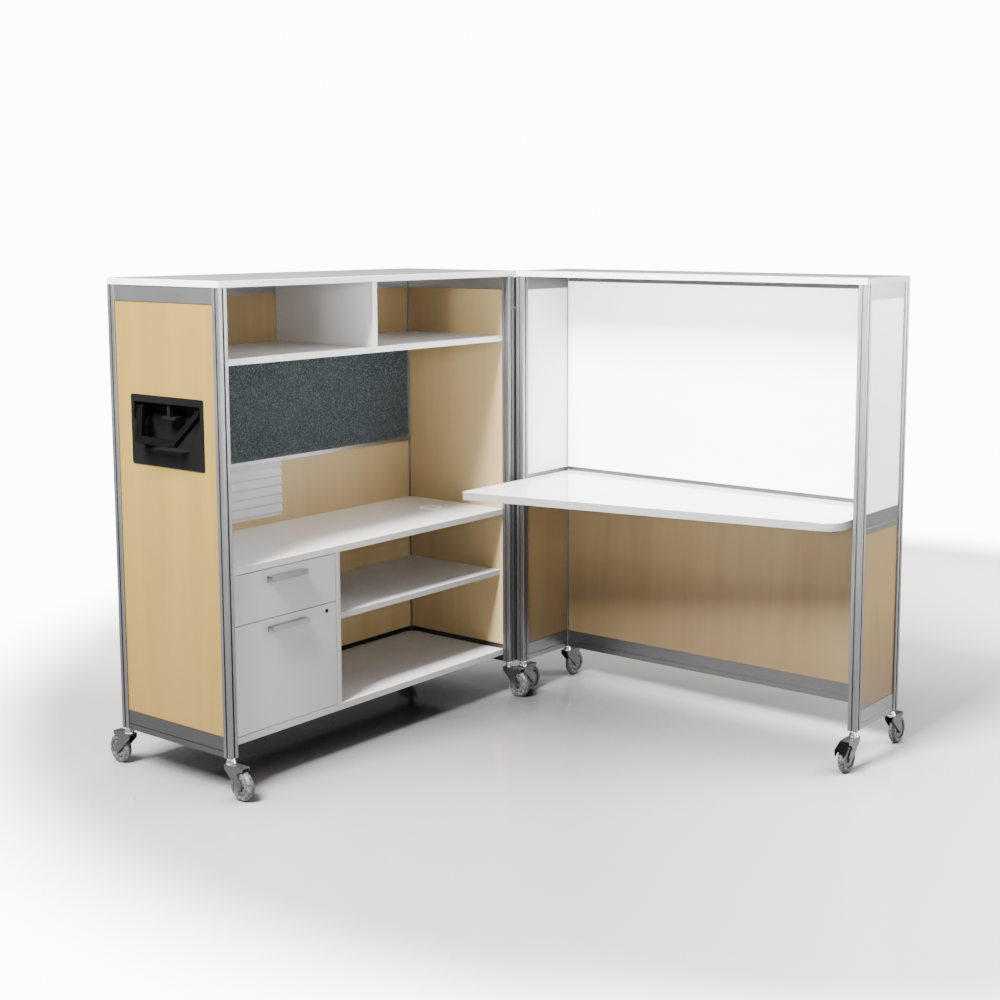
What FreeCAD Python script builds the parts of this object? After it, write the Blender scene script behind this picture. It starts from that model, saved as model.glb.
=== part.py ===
import FreeCAD, Part
import math
import os
import Sketcher
from FreeCAD import Vector, Rotation, Placement

# Folding cubicle workstation on casters, in millimetres, +Z up, floor at Z = 0.
# The storage cabinet faces -Y, the desk cabinet is hinged to its front right post and faces -X.
# Everything is laid out from the storage cabinet's front right corner, then shifted so that
# the origin lies on the floor at the middle of the whole outline.

CLOSE = 1e-6

doc = FreeCAD.newDocument("cubicle_workstation")
sheet = doc.addObject("Spreadsheet::Sheet", "dims")

DIMENSIONS = [
    ("cabinet_width", 1305, "outer width of each cabinet"),
    ("storage_depth", 490, "outer depth of the storage cabinet"),
    ("desk_depth", 290, "outer depth of the desk cabinet"),
    ("post_length", 1345, "corner post, caster to top slab"),
    ("caster_height", 118, "floor to underside of the posts"),
    ("slab_thickness", 20, "top slab of each cabinet"),
    ("slab_ease", 2, "small bevel on the slab's upper edges"),
    ("post_size", 30, "square section of a corner post"),
    ("post_corner", 1, "bevel on a post's corners"),
    ("slot_mouth", 6, "mouth of the slot in each post face"),
    ("slot_lip", 1.6, "thickness of the lips beside a slot"),
    ("slot_width", 10, "width of a slot behind its lips"),
    ("slot_depth", 5, "depth of a slot"),
    ("rail_thickness", 24, "horizontal rails between posts"),
    ("top_rail_height", 46, "rails under the top slab"),
    ("bottom_rail_height", 60, "rails along the bottom"),
    ("desk_mid_rail_height", 62, "end rails at the height of the worktop"),
    ("desk_back_rail_height", 69, "back rail at the height of the worktop"),
    ("desk_back_groove_level", 59, "line groove above the back rail's lower edge"),
    ("desk_mid_rail_level", 717, "underside of the desk's middle rails"),
    ("storage_mid_rail_height", 13, "tool rail below the tackboard"),
    ("storage_mid_rail_level", 866, "underside of the tool rail"),
    ("storage_mid_rail_thickness", 32, "tool rail, proud of the wall"),
    ("rail_groove_width", 3.5, "line groove along a rail"),
    ("rail_groove_depth", 2, "depth of the line groove"),
    ("rail_groove_level", 19, "groove above a rail's lower edge"),
    ("panel_thickness", 20, "wall panels"),
    ("whiteboard_thickness", 4, "whiteboard in front of the desk's back wall"),
    ("whiteboard_drop", 24, "whiteboard's upper edge below the slab"),
    ("shelf_thickness", 18, "shelves and dividers"),
    ("board_round", 40, "rounded back corners of the shelves"),
    ("upper_bay_height", 202.5, "upper shelf's top face to the slab"),
    ("counter_level", 661, "top face of the counter"),
    ("counter_thickness", 20, "counter board"),
    ("middle_shelf_level", 443, "top face of the middle shelf"),
    ("middle_shelf_setback", 16, "middle shelf edge behind the counter edge"),
    ("bottom_shelf_level", 162, "top face of the bottom shelf"),
    ("bottom_shelf_thickness", 20, "bottom shelf"),
    ("divider_thickness", 20, "divider between the upper bays"),
    ("tackboard_thickness", 12, "fabric board"),
    ("pedestal_width", 454, "outer width of the drawer pedestal"),
    ("pedestal_panel", 18, "side panels of the pedestal"),
    ("front_thickness", 18, "drawer fronts"),
    ("front_gap", 2.5, "reveal round a drawer front"),
    ("top_front_height", 147, "front of the top drawer"),
    ("runner_space", 12.7, "space for a runner on each side"),
    ("runner_height", 45, "fixed runner channel"),
    ("runner_wall", 1.5, "sheet of the runner channel"),
    ("runner_depth", 9, "depth of the runner channel"),
    ("runner_play", 0.3, "play round the sliding bar"),
    ("drawer_back_gap", 17, "drawer box to the back wall"),
    ("drawer_wall", 12, "sides of a drawer box"),
    ("drawer_floor", 8, "bottom of a drawer box"),
    ("top_drawer_rise", 22, "top drawer box above its front's lower edge"),
    ("top_drawer_height", 105, "side height of the top drawer box"),
    ("file_drawer_rise", 20, "file drawer box above its front's lower edge"),
    ("file_drawer_height", 262, "side height of the file drawer box"),
    ("pull_length", 146, "drawer pull"),
    ("pull_reach", 24, "pull in front of the drawer face"),
    ("pull_height", 18, "height of the pull"),
    ("pull_sheet", 2.5, "thickness of the pull"),
    ("pull_drop", 20, "pull below the front's upper edge"),
    ("lock_radius", 5, "lock plug"),
    ("lock_head_radius", 6.2, "lock face"),
    ("lock_head_height", 1.2, "lock face in front of the drawer"),
    ("lock_play", 0.05, "play of the plug in its bore"),
    ("lock_gap", 0.3, "gap between the lock's face and the drawer"),
    ("lock_inset", 40, "lock from the front's right edge"),
    ("lock_drop", 21, "lock below the front's upper edge"),
    ("key_width", 1.6, "key slot"),
    ("key_height", 6, "key slot"),
    ("key_depth", 4, "key slot"),
    ("grommet_inset", 165, "grommet from the cabinet's right end"),
    ("grommet_setback", 213, "grommet behind the counter's front edge"),
    ("grommet_hole", 31, "hole in the counter"),
    ("grommet_flange", 40, "flange of the cable grommet"),
    ("grommet_flange_height", 2.5, "flange above the counter"),
    ("grommet_wall", 2.5, "wall of the grommet's sleeve"),
    ("grommet_sleeve", 19, "depth of the sleeve in the counter"),
    ("cap_play", 0.5, "play round the grommet's cap"),
    ("cap_thickness", 4, "cap of the grommet"),
    ("cap_ledge", 2, "ledge that carries the cap"),
    ("cap_notch_width", 22, "cable notch in the cap"),
    ("cap_notch_depth", 15, "cable notch in the cap"),
    ("tile_width", 610, "slat tile"),
    ("tile_pitch", 30, "one slat of the tile"),
    ("tile_head", 20, "slat below the tool rail, partly behind it"),
    ("tile_foot", 10, "strip below the last slat"),
    ("tile_thickness", 12, "slat tile"),
    ("tile_lip", 3, "underside of a slat"),
    ("tile_inset", 5, "slat tile from the left post"),
    ("tile_drop", 0.5, "tile below the tool rail"),
    ("dish_width", 317, "flange of the handle dish"),
    ("dish_height", 205, "flange of the handle dish"),
    ("dish_offset", 6, "dish's middle in front of the end panel's middle"),
    ("dish_drop", 96, "dish flange below the upper shelf"),
    ("dish_flange", 3, "thickness of the dish flange"),
    ("dish_corner", 6, "corner radius of the dish flange"),
    ("dish_wall", 3, "wall of the dish"),
    ("recess_width", 290, "mouth of the recess"),
    ("recess_height", 136, "mouth of the recess"),
    ("recess_depth", 42, "depth of the recess"),
    ("recess_rise", 48, "recess above the flange's lower edge"),
    ("recess_floor_inset", 48, "how far the recess narrows towards its foot"),
    ("boss_setback", 4, "latch boss behind the panel face"),
    ("boss_stem", 12, "width of the boss's stem"),
    ("boss_drop", 38, "length of the boss's stem"),
    ("boss_foot", 60, "width of the boss's foot"),
    ("boss_foot_height", 8, "height of the boss's foot"),
    ("dish_pin_radius", 4, "pins that carry the bail"),
    ("bail_span", 123, "half the distance between the bail's eyes"),
    ("bail_arm", 93, "eye to the grip bar's upper edge"),
    ("bail_grip", 67, "half length of the grip bar's upper edge"),
    ("bail_bar", 19, "width of the bail's bar"),
    ("bail_thickness", 15, "thickness of the bail"),
    ("bail_eye_radius", 9, "eyes of the bail"),
    ("bail_play", 0.05, "play of the eyes on their pins"),
    ("bail_depth", 12, "bail axis behind the panel face"),
    ("bail_drop", 17, "bail axis below the recess's upper edge"),
    ("hinge_offset", 3.2, "fold axis from the cabinets' end faces"),
    ("hinge_lead", 0.4, "fold axis in front of the storage front"),
    ("hinge_leaf", 1.2, "sheet of the hinge leaves"),
    ("hinge_leaf_width", 21, "width of a leaf"),
    ("hinge_knuckle", 2.8, "outer radius of the knuckles"),
    ("hinge_pin_radius", 1.5, "hinge pin"),
    ("hinge_play", 0.05, "play of the pin in the knuckles"),
    ("hinge_gap", 0.4, "gap between knuckles and round them"),
    ("hinge_margin", 3, "hinge ends from the posts' ends"),
    ("hinge_head", 1.5, "height of the pin's heads"),
    ("worktop_level", 767, "top face of the worktop"),
    ("worktop_thickness", 25, "worktop board"),
    ("worktop_clearance", 1.7, "worktop from the posts it passes"),
    ("worktop_wide_length", 336, "worktop in front of the desk at the hinge"),
    ("worktop_narrow_length", 97, "worktop in front of the desk at the free end"),
    ("worktop_round", 60, "worktop's free front corner"),
    ("worktop_tip", 14, "worktop's corner by the hinge"),
    ("bracket_sheet", 3, "sheet of the worktop brackets"),
    ("bracket_length", 190, "bracket below the worktop"),
    ("bracket_height", 78, "bracket against the rail and wall"),
    ("bracket_flange", 30, "width of a bracket's flanges"),
    ("bracket_tip", 16, "depth of the gusset at its tip"),
    ("bracket_inset", 230, "brackets from the desk's ends"),
    ("stem_radius", 5, "threaded stem in the post"),
    ("stem_length", 38, "threaded stem in the post"),
    ("stem_play", 0.1, "play of the stem in its bore"),
    ("collar_radius", 11, "collar under the post"),
    ("collar_height", 4, "collar under the post"),
    ("race_radius", 15, "race cover over the fork"),
    ("race_edge", 4, "straight rim of the race cover"),
    ("king_radius", 6, "king pin"),
    ("king_play", 0.05, "play of the fork on the king pin"),
    ("king_head_radius", 8.5, "head of the king pin"),
    ("king_head_height", 3, "head of the king pin"),
    ("fork_level", 100, "top of the fork plate"),
    ("fork_sheet", 2.5, "sheet of the fork"),
    ("fork_width", 30, "outer width of the fork"),
    ("fork_gap", 0.3, "gap between fork and race cover"),
    ("fork_reach", 60, "fork plate in front of the king pin"),
    ("fork_ear", 12, "height of the fork's front ears"),
    ("fork_waist", 38, "leg's front edge below the ears"),
    ("fork_back_height", 14, "leg's rear edge"),
    ("caster_trail", 45, "axle behind the king pin"),
    ("wheel_radius", 44, "caster wheel"),
    ("wheel_width", 22, "caster wheel"),
    ("wheel_shoulder", 6, "bevel of the tread's shoulders"),
    ("wheel_rim_inset", 15, "rim to the sunk web"),
    ("wheel_web", 8, "thickness of the sunk web"),
    ("wheel_hub", 11, "hub of the wheel"),
    ("wheel_play", 0.05, "play of the wheel on its axle"),
    ("hub_play", 0.3, "gap between hub and fork"),
    ("axle_radius", 4, "axle bolt"),
    ("axle_head_radius", 6.5, "axle bolt head"),
    ("axle_head_height", 1.2, "axle bolt head"),
    ("axle_boss", 10, "rounded foot of the fork legs"),
    ("pedal_pin_radius", 2, "pin of the brake pedal"),
    ("pedal_barrel", 4.5, "barrel of the brake pedal"),
    ("pedal_play", 0.05, "play of the pedal on its pin"),
    ("pedal_side_play", 0.4, "play between pedal and ears"),
    ("pedal_reach", 37, "pedal in front of its pin"),
    ("pedal_fall", 19, "pedal's tip below its pin"),
    ("pedal_sheet", 5, "thickness of the pedal"),
    ("pedal_width", 32, "outer width of the pedal"),
    ("pedal_ear_gap", 1.5, "pedal's hood in front of the fork's ears"),
    ("pedal_skirt", 14, "depth of the pedal's side skirts"),
]

# Headings of the parked casters, in degrees from +X, and the bail's parked tilt.
HEADINGS = {
    "storage_front_left": -90,
    "storage_front_right": -90,
    "storage_back_left": 90,
    "storage_back_right": 90,
    "desk_front_left": 0,
    "desk_front_right": 180,
    "desk_back_left": 0,
    "desk_back_right": 0,
}
BAIL_TILT = 31

for line, (alias, number, meaning) in enumerate(DIMENSIONS, start=1):
    sheet.set("A%d" % line, alias)
    sheet.set("B%d" % line, str(number))
    sheet.set("C%d" % line, meaning)
    sheet.setAlias("B%d" % line, alias)
doc.recompute()


class Size:
    """A size that keeps both its number and its formula in the sheet's cells."""

    def __init__(self, formula, number):
        self.formula = formula
        self.number = number

    def combine(self, other, sign, result):
        other_formula = other.formula if isinstance(other, Size) else repr(other)
        return Size("(%s %s %s)" % (self.formula, sign, other_formula), result)

    def __add__(self, other):
        return self.combine(other, "+", self.number + number_of(other))

    def __sub__(self, other):
        return self.combine(other, "-", self.number - number_of(other))

    def __mul__(self, other):
        return self.combine(other, "*", self.number * number_of(other))

    def __truediv__(self, other):
        return self.combine(other, "/", self.number / number_of(other))

    def __neg__(self):
        return Size("(-1 * %s)" % self.formula, -self.number)

    __rmul__ = __mul__


def number_of(size):
    return size.number if isinstance(size, Size) else float(size)


class Dimensions:
    """Gives each driving dimension of the sheet by its name."""

    def __getattr__(self, alias):
        return Size("dims." + alias, float(sheet.get(alias)))


d = Dimensions()
ZERO = Size("0", 0.0)
PLANES = {"xy": "XY_Plane", "xz": "XZ_Plane", "yz": "YZ_Plane"}
nodes = {}


def bind(target, prop, size):
    """Ties one property to its formula."""
    if isinstance(size, Size):
        target.setExpression(prop, size.formula)
    else:
        setattr(target, prop, size)


def place(target, x, y, z, turn=0.0, axis=Vector(0, 0, 1)):
    """Puts an object at a point, turned about one axis; the point stays tied to the sheet."""
    target.Placement = Placement(Vector(number_of(x), number_of(y), number_of(z)), Rotation(axis, turn))
    for name, size in (("x", x), ("y", y), ("z", z)):
        if isinstance(size, Size):
            target.setExpression("Placement.Base." + name, size.formula)
    return target


def new_body(name):
    body = doc.addObject("PartDesign::Body", name)
    body.Label = name
    return body


def new_sketch(body, plane):
    sketch = body.newObject("Sketcher::SketchObject", body.Name + "_sketch")
    role = PLANES[plane]
    origin_plane = [part for part in body.Origin.OriginFeatures if part.Role == role][0]
    sketch.AttachmentSupport = [(origin_plane, "")]
    sketch.MapMode = "FlatFace"
    return sketch


def tie(sketch, kind, geometry, point, size):
    """Holds one coordinate of a sketch point at a formula's value."""
    if size.number == 0:
        axis = -2 if kind == "DistanceX" else -1
        sketch.addConstraint(Sketcher.Constraint("PointOnObject", geometry, point, axis))
        return
    number = sketch.addConstraint(Sketcher.Constraint(kind, -1, 1, geometry, point, size.number))
    sketch.setExpression("Constraints[%d]" % number, size.formula)


def outline(sketch, points):
    """Draws a closed outline through points, each tied to the sheet in both directions."""
    first = len(sketch.Geometry)
    count = len(points)
    for index in range(count):
        start = points[index]
        end = points[(index + 1) % count]
        sketch.addGeometry(Part.LineSegment(Vector(start[0].number, start[1].number, 0),
                                            Vector(end[0].number, end[1].number, 0)))
    for index in range(count):
        following = first + (index + 1) % count
        sketch.addConstraint(Sketcher.Constraint("Coincident", first + index, 2, following, 1))
    for index, (across, up) in enumerate(points):
        tie(sketch, "DistanceX", first + index, 1, across)
        tie(sketch, "DistanceY", first + index, 1, up)


def rectangle(sketch, left, low, right, high):
    outline(sketch, [(left, low), (right, low), (right, high), (left, high)])


def circle(sketch, across, up, radius):
    centre = Vector(across.number, up.number, 0)
    index = sketch.addGeometry(Part.Circle(centre, Vector(0, 0, 1), radius.number))
    tie(sketch, "DistanceX", index, 3, across)
    tie(sketch, "DistanceY", index, 3, up)
    number = sketch.addConstraint(Sketcher.Constraint("Radius", index, radius.number))
    sketch.setExpression("Constraints[%d]" % number, radius.formula)


def grow(body, sketch, length, middle=False, backwards=False):
    """Pads a sketch."""
    pad = body.newObject("PartDesign::Pad", body.Name + "_pad")
    pad.Profile = sketch
    pad.Midplane = middle
    pad.Reversed = backwards
    bind(pad, "Length", length)
    sketch.Visibility = False
    return pad


def cut(body, sketch, length=None, middle=False, backwards=False):
    """Pockets a sketch, to a depth or right through both ways."""
    pocket = body.newObject("PartDesign::Pocket", body.Name + "_pocket")
    pocket.Profile = sketch
    if length is None:
        pocket.Type = 1
        pocket.Midplane = True
    else:
        pocket.Midplane = middle
        pocket.Reversed = backwards
        bind(pocket, "Length", length)
    return pocket


def turn(body, sketch, axis="V_Axis"):
    """Revolves a sketch about one of its own axes."""
    revolution = body.newObject("PartDesign::Revolution", body.Name + "_turn")
    revolution.Profile = sketch
    revolution.ReferenceAxis = (sketch, [axis])
    revolution.Angle = 360.0
    return revolution


def ease(body, feature, chosen, size, kind="PartDesign::Chamfer"):
    """Bevels or rounds the edges that a test chooses."""
    doc.recompute()
    names = []
    for index, edge in enumerate(feature.Shape.Edges, start=1):
        if chosen(edge):
            names.append("Edge%d" % index)
    dress = body.newObject(kind, body.Name + "_ease")
    dress.Base = (feature, names)
    bind(dress, "Radius" if kind.endswith("Fillet") else "Size", size)
    return dress


def is_upright(edge):
    box = edge.BoundBox
    return box.ZLength > CLOSE > box.XLength + box.YLength


def keep(name, target):
    """Files an object as the node of that name."""
    target.Label = name
    nodes[name] = target
    return target


def group(name, members):
    """Joins like pieces, still separate solids, in one node."""
    compound = doc.addObject("Part::Compound", name)
    compound.Links = members
    return keep(name, compound)


def board(name, low, size):
    """A plain rectangular board from its lowest corner."""
    body = new_body(name)
    sketch = new_sketch(body, "xy")
    rectangle(sketch, ZERO, ZERO, size[0], size[1])
    grow(body, sketch, size[2])
    return place(body, *low)


def round_backed_board(name, low, size, left_round=True, right_round=True):
    """A board whose back corners are rounded to pass the corner posts."""
    body = board(name, low, size)
    doc.recompute()
    box = body.Tip.Shape.BoundBox
    middle = (box.XMin + box.XMax) / 2
    back = (box.YMin + box.YMax) / 2

    def at_back(edge):
        place_of = edge.BoundBox
        if place_of.ZLength < CLOSE or place_of.YMin < back:
            return False
        return left_round if place_of.XMax < middle else right_round

    ease(body, body.Tip, at_back, d.board_round, "PartDesign::Fillet")
    return body


# Places shared by many pieces, measured from the storage cabinet's front right corner.
wall_inset = (d.post_size - d.panel_thickness) / 2
wall_face = wall_inset + d.panel_thickness
rail_inset = (d.post_size - d.rail_thickness) / 2
rail_face = rail_inset + d.rail_thickness
posts_low = d.caster_height
posts_high = posts_low + d.post_length
bottom_rail_top = posts_low + d.bottom_rail_height
top_rail_low = posts_high - d.top_rail_height
upper_shelf_level = posts_high - d.upper_bay_height
fold_x = d.hinge_offset
fold_y = -d.hinge_lead
slab_reach = d.hinge_offset - d.hinge_lead
desk_front = fold_x + d.hinge_offset
desk_end = fold_y - d.hinge_offset
desk_far_end = desk_end - d.cabinet_width
desk_back = desk_front + d.desk_depth
half_post = d.post_size / 2

# The bail's grip bar sets how far the outline reaches on the left.
dish_front = (d.storage_depth - d.dish_width) / 2 - d.dish_offset
dish_level = upper_shelf_level - d.shelf_thickness - d.dish_drop - d.dish_height
bail_axis_x = -(d.cabinet_width - wall_inset - d.bail_depth)
tilt_sine = math.sin(math.radians(BAIL_TILT))
tilt_cosine = math.cos(math.radians(BAIL_TILT))
bail_out = (d.bail_arm + d.bail_bar) * tilt_sine + d.bail_thickness / 2 * tilt_cosine
outline_left = bail_axis_x - bail_out
caster_reach = d.caster_trail + d.wheel_radius - half_post
outline_right = desk_back + caster_reach
outline_back = d.storage_depth + caster_reach
outline_front = desk_far_end + half_post - d.fork_width / 2 - d.axle_head_height
shift_x = -(outline_left + outline_right) / 2
shift_y = -(outline_front + outline_back) / 2


def storage_point(x, y, z):
    """A point given from the storage cabinet's front right corner, in the part's frame."""
    return x + shift_x, y + shift_y, z


def desk_point(along, depth, z):
    """A point given along the desk's front from the hinge end, and in depth from its front."""
    return desk_front + depth + shift_x, desk_end - along + shift_y, z


def post_outline():
    """One quarter of the slotted post section, turned four times."""
    half = half_post
    mouth = d.slot_mouth / 2
    inner = d.slot_width / 2
    lip = half - d.slot_lip
    floor = half - d.slot_depth
    quarter = [
        (half, mouth), (lip, mouth), (lip, inner), (floor, inner), (floor, -inner),
        (lip, -inner), (lip, -mouth), (half, -mouth), (half, -(half - d.post_corner)),
        (half - d.post_corner, -half),
    ]
    points = []
    for step in range(4):
        for across, up in quarter:
            for _ in range(step):
                across, up = up, -across
            points.append((across, up))
    return points


def post(name, x, y):
    body = new_body(name)
    sketch = new_sketch(body, "xy")
    outline(sketch, post_outline())
    circle(sketch, ZERO, ZERO, d.stem_radius + d.stem_play)
    grow(body, sketch, d.post_length)
    return place(body, x, y, posts_low)


def rail(name, start, length, height, thickness, along_x, groove=None):
    """A rail, with a line groove on both faces where a level for one is given."""
    body = new_body(name)
    sketch = new_sketch(body, "yz" if along_x else "xz")
    half = thickness / 2
    if groove is not None:
        low = groove - d.rail_groove_width / 2
        high = groove + d.rail_groove_width / 2
        deep = half - d.rail_groove_depth
        points = [(-half, ZERO), (half, ZERO), (half, low), (deep, low), (deep, high), (half, high),
                  (half, height), (-half, height), (-half, high), (-deep, high), (-deep, low), (-half, low)]
    else:
        points = [(-half, ZERO), (half, ZERO), (half, height), (-half, height)]
    outline(sketch, points)
    grow(body, sketch, length, backwards=not along_x)
    return place(body, *start)


def make_storage_frame():
    width, depth = d.cabinet_width, d.storage_depth
    corners = [("front_left", -(width - half_post), half_post), ("front_right", -half_post, half_post),
               ("back_left", -(width - half_post), depth - half_post),
               ("back_right", -half_post, depth - half_post)]
    posts = []
    for corner, x, y in corners:
        at = storage_point(x, y, ZERO)
        posts.append(post("storage_post_" + corner, at[0], at[1]))
    group("storage_posts", posts)

    side_run = depth - 2 * d.post_size
    back_run = width - 2 * d.post_size
    end_rails = []
    for side, x in (("left", -(width - half_post)), ("right", -half_post)):
        for level, z, height, groove in (("bottom", posts_low, d.bottom_rail_height, d.rail_groove_level),
                                         ("top", top_rail_low, d.top_rail_height, None)):
            start = storage_point(x, d.post_size, z)
            end_rails.append(rail("storage_%s_%s_rail" % (side, level), start, side_run, height,
                                  d.rail_thickness, False, groove))
    group("storage_end_rails", end_rails)

    back_rails = []
    middle = depth - half_post
    tool_middle = depth - rail_inset - d.storage_mid_rail_thickness / 2
    for level, y, z, height, thickness, groove in (
            ("bottom", middle, posts_low, d.bottom_rail_height, d.rail_thickness, d.rail_groove_level),
            ("top", middle, top_rail_low, d.top_rail_height, d.rail_thickness, None)):
        start = storage_point(-(width - d.post_size), y, z)
        back_rails.append(rail("storage_back_%s_rail" % level, start, back_run, height, thickness, True, groove))
    start = storage_point(-(width - d.post_size), tool_middle, d.storage_mid_rail_level)
    back_rails.append(tool_rail("storage_tool_rail", start, back_run))
    group("storage_back_rails", back_rails)


def tool_rail(name, start, length):
    """The slim rail below the tackboard, with two hooking grooves in its front."""
    body = new_body(name)
    sketch = new_sketch(body, "yz")
    half = d.storage_mid_rail_thickness / 2
    height = d.storage_mid_rail_height
    slot = d.rail_groove_width
    deep = -(half - d.rail_groove_depth)
    step = (height - 2 * slot) / 3
    points = [(half, ZERO), (half, height), (-half, height)]
    for count in (2, 1):
        high = step * count + slot * count
        low = high - slot
        points += [(-half, high), (deep, high), (deep, low), (-half, low)]
    points.append((-half, ZERO))
    outline(sketch, points)
    grow(body, sketch, length)
    return place(body, *start)


def make_storage_walls():
    width, depth = d.cabinet_width, d.storage_depth
    side_run = depth - 2 * d.post_size
    back_run = width - 2 * d.post_size
    tall = top_rail_low - bottom_rail_top
    low = storage_point(-(width - wall_inset), d.post_size, bottom_rail_top)
    left = board("storage_left_panel", low, (d.panel_thickness, side_run, tall))
    sketch = new_sketch(left, "yz")
    room = d.dish_wall
    front = dish_front - d.post_size + (d.dish_width - d.recess_width) / 2 - room
    bottom = dish_level + d.recess_rise - bottom_rail_top - room
    rectangle(sketch, front, bottom, front + d.recess_width + 2 * room, bottom + d.recess_height + 2 * room)
    cut(left, sketch)
    keep("storage_left_panel", left)

    low = storage_point(-wall_face, d.post_size, bottom_rail_top)
    keep("storage_right_panel", board("storage_right_panel", low, (d.panel_thickness, side_run, tall)))

    back = depth - wall_face
    left_end = -(width - d.post_size)
    rail_top = d.storage_mid_rail_level + d.storage_mid_rail_height
    lower = board("storage_back_panel_lower", storage_point(left_end, back, bottom_rail_top),
                  (back_run, d.panel_thickness, d.storage_mid_rail_level - bottom_rail_top))
    upper = board("storage_back_panel_upper", storage_point(left_end, back, rail_top),
                  (back_run, d.panel_thickness, top_rail_low - rail_top))
    group("storage_back_panels", [lower, upper])

    tack_low = storage_point(left_end, back - d.tackboard_thickness, rail_top)
    tack_height = upper_shelf_level - d.shelf_thickness - rail_top
    keep("tackboard", board("tackboard", tack_low, (back_run, d.tackboard_thickness, tack_height)))


def slab(name, low, size):
    """A top slab with a small bevel round its upper edges."""
    body = board(name, low, size)
    pad = body.Tip
    doc.recompute()
    top = pad.Shape.BoundBox.ZMax
    ease(body, pad, lambda edge: edge.BoundBox.ZMin > top - CLOSE, d.slab_ease)
    return keep(name, body)


def make_storage_boards():
    width, depth = d.cabinet_width, d.storage_depth
    inner_left = -(width - wall_face)
    clear = width - 2 * wall_face
    front = d.post_size
    run = depth - d.post_size - wall_face
    slab("storage_top", storage_point(-width, ZERO, posts_high),
         (width + slab_reach, depth, d.slab_thickness))

    low = storage_point(inner_left, front, upper_shelf_level - d.shelf_thickness)
    keep("upper_shelf", round_backed_board("upper_shelf", low, (clear, run, d.shelf_thickness)))
    low = storage_point(-(width + d.divider_thickness) / 2, front, upper_shelf_level)
    before_rail = depth - d.post_size - rail_face
    keep("shelf_divider", board("shelf_divider", low,
                                (d.divider_thickness, before_rail, posts_high - upper_shelf_level)))

    low = storage_point(inner_left, front, d.counter_level - d.counter_thickness)
    counter = round_backed_board("counter", low, (clear, run, d.counter_thickness))
    sketch = new_sketch(counter, "xy")
    circle(sketch, clear - (d.grommet_inset - wall_face), d.grommet_setback, d.grommet_hole)
    cut(counter, sketch)
    keep("counter", counter)

    rail_left = -(width - rail_face)
    low = storage_point(rail_left, front, d.bottom_shelf_level - d.bottom_shelf_thickness)
    between_rails = (width - 2 * rail_face, depth - d.post_size - rail_face, d.bottom_shelf_thickness)
    keep("bottom_shelf", round_backed_board("bottom_shelf", low, between_rails))

    pedestal_high = d.counter_level - d.counter_thickness - d.bottom_shelf_level
    pedestal_size = (d.pedestal_panel, depth - 2 * d.post_size, pedestal_high)
    right_panel_left = rail_left + d.pedestal_width - d.pedestal_panel
    left = board("pedestal_left_side", storage_point(rail_left, front, d.bottom_shelf_level), pedestal_size)
    right = board("pedestal_right_side", storage_point(right_panel_left, front, d.bottom_shelf_level),
                  pedestal_size)
    group("pedestal_sides", [left, right])

    shelf_left = rail_left + d.pedestal_width
    low = storage_point(shelf_left, front + d.middle_shelf_setback, d.middle_shelf_level - d.shelf_thickness)
    shelf_size = (-wall_face - shelf_left, run - d.middle_shelf_setback, d.shelf_thickness)
    keep("middle_shelf", round_backed_board("middle_shelf", low, shelf_size, left_round=False))


# Places of the drawers.
pedestal_left = -(d.cabinet_width - rail_face) + d.pedestal_panel
pedestal_clear = d.pedestal_width - 2 * d.pedestal_panel
fronts_top = d.counter_level - d.counter_thickness - d.front_gap
top_front_low = fronts_top - d.top_front_height
file_front_top = top_front_low - d.front_gap
file_front_low = d.bottom_shelf_level + d.front_gap
front_width = pedestal_clear - 2 * d.front_gap
box_width = pedestal_clear - 2 * d.runner_space
drawer_front = d.post_size
box_front = drawer_front + d.front_thickness
drawer_length = d.storage_depth - wall_face - d.drawer_back_gap - box_front


def drawer_front_board(name, low_z, high_z):
    low = storage_point(pedestal_left + d.front_gap, drawer_front, low_z)
    return keep(name, board(name, low, (front_width, d.front_thickness, high_z - low_z)))


def drawer_box(name, low_z, height):
    """An open-topped box."""
    low = storage_point(pedestal_left + d.runner_space, box_front, low_z)
    body = board(name, low, (box_width, drawer_length, height))
    sketch = new_sketch(body, "xy")
    sketch.setExpression("AttachmentOffset.Base.z", height.formula)
    wall = d.drawer_wall
    rectangle(sketch, wall, wall, box_width - wall, drawer_length - wall)
    cut(body, sketch, height - d.drawer_floor)
    return keep(name, body)


def drawer_slides(name, low_z, height):
    """The two bars that ride in the runner channels, fixed to a drawer's sides."""
    bar_height = d.runner_height - 2 * d.runner_wall - 2 * d.runner_play
    bar_depth = d.runner_space - d.runner_wall - d.runner_play
    bar_low = low_z + (height - bar_height) / 2
    left = board(name + "_left", storage_point(pedestal_left + d.runner_space - bar_depth, box_front, bar_low),
                 (bar_depth, drawer_length, bar_height))
    right_x = pedestal_left + d.runner_space + box_width
    right = board(name + "_right", storage_point(right_x, box_front, bar_low),
                  (bar_depth, drawer_length, bar_height))
    return group(name, [left, right])


def runner_channel(name, x, z, opens_right):
    """A fixed channel, open towards the drawer."""
    body = new_body(name)
    sketch = new_sketch(body, "xz")
    sign = 1 if opens_right else -1
    wall = d.runner_wall
    depth = d.runner_depth
    height = d.runner_height
    outline(sketch, [(ZERO, ZERO), (depth * sign, ZERO), (depth * sign, wall), (wall * sign, wall),
                     (wall * sign, height - wall), (depth * sign, height - wall), (depth * sign, height),
                     (ZERO, height)])
    grow(body, sketch, drawer_length, backwards=True)
    return place(body, *storage_point(x, box_front, z))


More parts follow.
